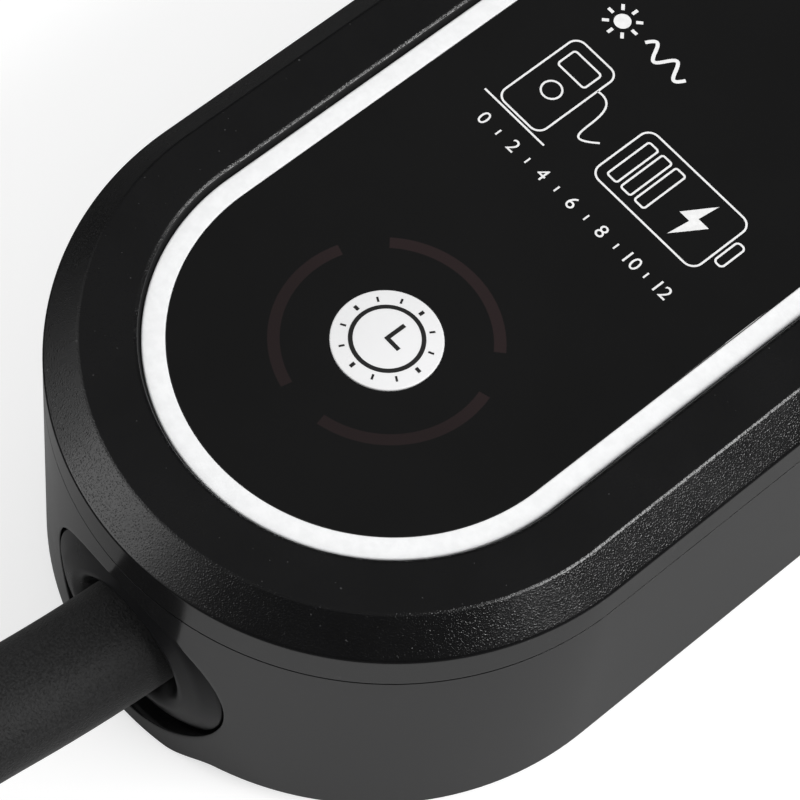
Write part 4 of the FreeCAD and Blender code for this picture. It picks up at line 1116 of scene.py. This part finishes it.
def swing(start, lean_out, lean_in, end, steps=40):
    """Smooth curve from start to end that leans towards two points: the sum of the four, each weighted by its
    cubic Bezier share."""
    t = np.linspace(0, 1, steps)[:, None]
    shares = [(1 - t) ** 3, 3 * t * (1 - t) ** 2, 3 * t**2 * (1 - t), t**3]
    points = np.array([start, lean_out, lean_in, end], float)
    return sum(share * point for share, point in zip(shares, points))


def number_mesh(text, height, x, y):
    """A number as a flat mesh, centred on a place, in mm."""
    curve = bpy.data.curves.new("number", "FONT")
    curve.body = text
    curve.size = height / digit_share
    curve.align_x = "CENTER"
    curve.align_y = "CENTER"
    curve.extrude = ink_height / 2
    mesh = mesh_of_curve(curve)
    mesh.transform(Matrix.Translation((x, y, ink_height / 2)))
    mesh.transform(Matrix.Scale(mm, 4))
    return mesh


# %% Symbols on the window
thin_line = 0.3


def bolt(x, y, height):
    """Lightning bolt of a given height."""
    shape = np.array([(0.08, 0.5), (-0.27, -0.06), (-0.04, -0.06), (-0.1, -0.5), (0.27, 0.08), (0.03, 0.08)])
    return ink_field(shape * height + [x, y])


def hour_row(y):
    """Even hours as numbers and odd ones as ticks, along the line that the window's width leaves."""
    step = 2.95
    tick = 0.55
    lines = []
    numbers = []
    for hour in range(13):
        x = (hour - 6) * step
        if hour % 2:
            lines.append(ink_line(straight((x, y - tick), (x, y + tick)), 0.26))
        else:
            numbers.append(number_mesh(str(hour), 2.1, x, y))
    return lines, numbers


def battery(x, y):
    """Battery outline with its terminal, three charge bars and a bolt."""
    boxes = [
        rounded_box(x - 11, y - 5.6, x + 9.2, y + 5.6, 1.7),
        rounded_box(x + 9.9, y - 2.3, x + 11.4, y + 2.3, 0.6),
    ]
    for k in range(3):
        start = x - 9.4 + k * 2.7
        boxes.append(rounded_box(start, y - 4.0, start + 1.9, y + 4.0, 0.4))
    return [ink_line(outline, thin_line, closed=True) for outline in boxes] + [bolt(x + 3.6, y, 8.4)]


def charging_post(x, y):
    """Post with a small display and a foot, and its hose that swings over to the battery."""
    outlines = [
        rounded_box(x - 4.2, y - 7.0, x + 4.2, y + 8.2, 1.6),
        rounded_box(x - 2.7, y + 3.0, x + 2.7, y + 6.4, 0.5),
        circle_path((x, y - 0.6), 1.5),
    ]
    open_lines = [
        straight((x - 6.0, y - 7.6), (x + 6.0, y - 7.6)),
        swing((x + 4.2, y + 4.2), (x + 10.5, y + 5.4), (x + 4.6, y - 7.6), (x + 10.6, y - 1.4)),
    ]
    lines = [ink_line(outline, thin_line, closed=True) for outline in outlines]
    return lines + [ink_line(path, thin_line) for path in open_lines]


def sun_and_wave(x, y):
    """A sun with eight rays, and a wave beside it."""
    lines = [ink_field(circle_path((x, y), 1.25))]
    for k in range(8):
        lines.append(ink_line(ray((x, y), k * math.pi / 4, 1.9, 2.9), 0.5))
    wave_x = np.linspace(x + 4.6, x + 12.8, 48)
    wave_y = y + 1.3 * np.sin((wave_x - wave_x[0]) * 2 * math.pi / 4.1)
    lines.append(ink_line(np.stack([wave_x, wave_y], axis=1), 0.55))
    return lines


hour_lines, hour_numbers = hour_row(33.5)
window_lines = hour_lines + battery(9.0, 44.5) + charging_post(-15.2, 44.5) + sun_and_wave(-17.3, 59.4)
lift = np.array([0, button_y, panel_high[2] - ink_sink])
raised = [(grid + lift, wrap_rows, wrap_columns) for grid, wrap_rows, wrap_columns in window_lines]
for mesh in hour_numbers:
    mesh.transform(Matrix.Translation(Vector(lift * mm)))
symbols = skin("window_symbols", raised, extra=hour_numbers)
add_piece("window_symbols", symbols, "white_ink")

# %% Clock face on the button
clock_line = 0.62
clock_lines = [
    ink_line(circle_path((0, 0), 4.9, 97), clock_line, closed=True),
    ink_line(straight((0, -0.3), (0, 3.1), 6), clock_line),
    ink_line(straight((-0.3, 0), (2.3, 0), 6), clock_line),
]
for hour in range(12):
    tick = ray((0, 0), hour * math.pi / 6, 5.75, 6.55, 3)
    clock_lines.append(ink_line(tick, 0.5 if hour % 3 == 0 else 0.3))


def onto_crown(grid):
    """Lays flat ink onto the button's crown."""
    lifted = grid + np.array([0, button_y, 0])
    lifted[..., 2] += crown_at(np.hypot(grid[..., 0], grid[..., 1])) - ink_sink
    return lifted


curved = [(onto_crown(grid), wrap_rows, wrap_columns) for grid, wrap_rows, wrap_columns in clock_lines]
clock = skin("button_clock", curved)
add_piece("button_clock", clock, "black_ink", body="button")

# %% [markdown]
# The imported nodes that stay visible, most of them inside the box or on the connector, take their finish from
# the record: each node names a material slot, and each slot has its recipe above.

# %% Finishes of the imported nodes
for row in frame["record"]["subparts"]:
    node = frame["nodes"][row["node"]]
    material = finishes[row["material_slot"]]["material"]
    if not node.data.materials:
        node.data.materials.append(material)
    for place in node.material_slots:
        place.material = material
lead.data.materials.append(finishes["cable_rubber"]["material"])

# %% [markdown]
# The box lies on a white table in a white room. A glossy black object shows what it mirrors: its upright
# walls show the table, and its top shows what hangs over it. So the floor is made of two: a white one for
# the camera, and for reflections a grey one with painted light and shade: its colour is painted brighter
# round the box, brightest in front, and painted dark past that.

# %% Floor
floor_half = 3.0
floor_drop = 0.0002  # the floor lies this far under the box, so that the two don't touch
painted_light_reach = (0.12, 0.075)  # from the box's middle line: painted dark past the first, painted light within the second
front_from = (-0.03, -0.12)  # along Y: the painted light on the table in front is brighter from here, and full there
white_from = (0.35, 0.9)  # from the middle line: past these the camera sees plain white
paper_matt = 0.55
paper_glow = 0.6
# Greys of the floor that reflections see: painted shade away from the box, painted light beside and in front
# of it
mirrored_painted_dark = 0.075
mirrored_painted_side = 0.31
mirrored_painted_front = 0.46
floor_corners = [(-floor_half, -floor_half), (floor_half, -floor_half)]
floor_corners += [(floor_half, floor_half), (-floor_half, floor_half)]
floor_mesh = bpy.data.meshes.new("floor")
floor_mesh.from_pydata([(x, y, -floor_drop) for x, y in floor_corners], [], [(0, 1, 2, 3)])
floor = placed("floor", floor_mesh)
floor_material = bpy.data.materials.new("floor_white")
floor_material.use_nodes = True
tree = floor_material.node_tree
tree.nodes.remove(tree.nodes["Principled BSDF"])
parts = coordinates(tree, add_node(tree, "ShaderNodeTexCoord").outputs["Object"])
beside_box = middle_line_distance(tree, parts)
matt = add_node(tree, "ShaderNodeBsdfDiffuse", {"Color": grey(paper_matt)}).outputs[0]
glow = add_node(tree, "ShaderNodeEmission", {"Color": grey(paper_glow)}).outputs[0]
paper = add_node(tree, "ShaderNodeAddShader", {0: matt, 1: glow}).outputs[0]
white = add_node(tree, "ShaderNodeEmission", {"Color": grey(1)}).outputs[0]
seen_floor = mix_shader(tree, step_between(tree, beside_box, *white_from), paper, white)
# Painted light and shade: the grey that reflections see is painted brighter near the box and in front of it,
# and dark past that
in_front = step_between(tree, parts[1], *front_from)
table = mix_colour(tree, in_front, grey(mirrored_painted_side), grey(mirrored_painted_front))
shade = mix_colour(tree, step_between(tree, beside_box, *painted_light_reach), grey(mirrored_painted_dark), table)
painted_reflected_floor = add_node(tree, "ShaderNodeBsdfDiffuse", {"Color": shade}).outputs[0]
path = add_node(tree, "ShaderNodeLightPath").outputs
unseen = mix_shader(tree, path["Is Glossy Ray"], matt, painted_reflected_floor)
chosen = mix_shader(tree, path["Is Camera Ray"], unseen, seen_floor)
tree.links.new(chosen, tree.nodes["Material Output"].inputs["Surface"])
floor_mesh.materials.append(floor_material)
print("floor", 2 * floor_half, "m wide")

# %% [markdown]
# Two flat lamps face the box. The key stands to the right of the camera and draws the fine line of light on
# the rim and the glints on the textured slope. The other one stands low on the left, as a window would, and
# lights the left end of the slope.

# %% Lamps
lamp_aim = Vector((0, -0.05, 0.05))


def heading(azimuth, elevation):
    """Direction from the box at an azimuth from +X and an elevation, in degrees."""
    turn, rise = math.radians(azimuth), math.radians(elevation)
    return Vector((math.cos(turn) * math.cos(rise), math.sin(turn) * math.cos(rise), math.sin(rise)))


def soft_box(name, azimuth, elevation, distance, width, height, brightness):
    """Flat lamp that faces the box. Its power in watts is the brightness times pi times its area."""
    data = bpy.data.lights.new(name, "AREA")
    data.shape = "RECTANGLE"
    data.size = width
    data.size_y = height
    data.energy = brightness * math.pi * width * height
    lamp = placed(name, data)
    direction = heading(azimuth, elevation)
    lamp.location = lamp_aim + direction * distance
    lamp.rotation_mode = "QUATERNION"
    lamp.rotation_quaternion = (-direction).to_track_quat("-Z", "Y")
    print(name, "lamp of", round(data.energy, 1), "W")


soft_box("key", 24, 38.5, 1.7, 1.2, 0.38, 15.6)
soft_box("window_light", -118.5, 21, 1.2, 0.64, 0.8, 1.6)

# %% [markdown]
# The world does the rest, and it differs with the kind of ray: white for the camera, a plain grey that lights
# matt surfaces, and for reflections a room that is almost black, with a glow low on the left and a faint
# ceiling. A dark world for reflections is what keeps the window and the rim black.

# %% World
plain_strength = 0.66
dark_strength = 0.02
glow_heading = (-134, 8)
glow_strength = 1.15
glow_power = 6.0  # the glow falls off as this power of the cosine
ceiling_strength = 0.12
ceiling_rise = (0.5, 0.72)  # the ceiling comes in between these sines of the elevation
world = bpy.data.worlds.new("studio")
bpy.context.scene.world = world
world.use_nodes = True
tree = world.node_tree
tree.nodes.clear()


def world_light(strength):
    """White light of a strength that is one value, or worked out for each direction."""
    return add_node(tree, "ShaderNodeBackground", {"Color": grey(1), "Strength": strength}).outputs[0]


direction = add_node(tree, "ShaderNodeTexCoord").outputs["Generated"]
facing = {0: direction, 1: tuple(heading(*glow_heading))}
cosine = add_node(tree, "ShaderNodeVectorMath", facing, operation="DOT_PRODUCT").outputs[1]
side_glow = math_node(tree, "POWER", math_node(tree, "MAXIMUM", cosine, 0.0), glow_power)
overhead = step_between(tree, coordinates(tree, direction)[2], *ceiling_rise)
room = math_node(tree, "MULTIPLY_ADD", side_glow, glow_strength, dark_strength)
room = math_node(tree, "MULTIPLY_ADD", overhead, ceiling_strength, room)
path = add_node(tree, "ShaderNodeLightPath").outputs
lit = mix_shader(tree, path["Is Glossy Ray"], world_light(plain_strength), world_light(room))
seen = math_node(tree, "MAXIMUM", path["Is Camera Ray"], path["Is Transmission Ray"])
final = mix_shader(tree, seen, lit, world_light(1.0))
add_node(tree, "ShaderNodeOutputWorld", {"Surface": final})
bpy.context.scene.view_settings.view_transform = "Standard"
print("world set")
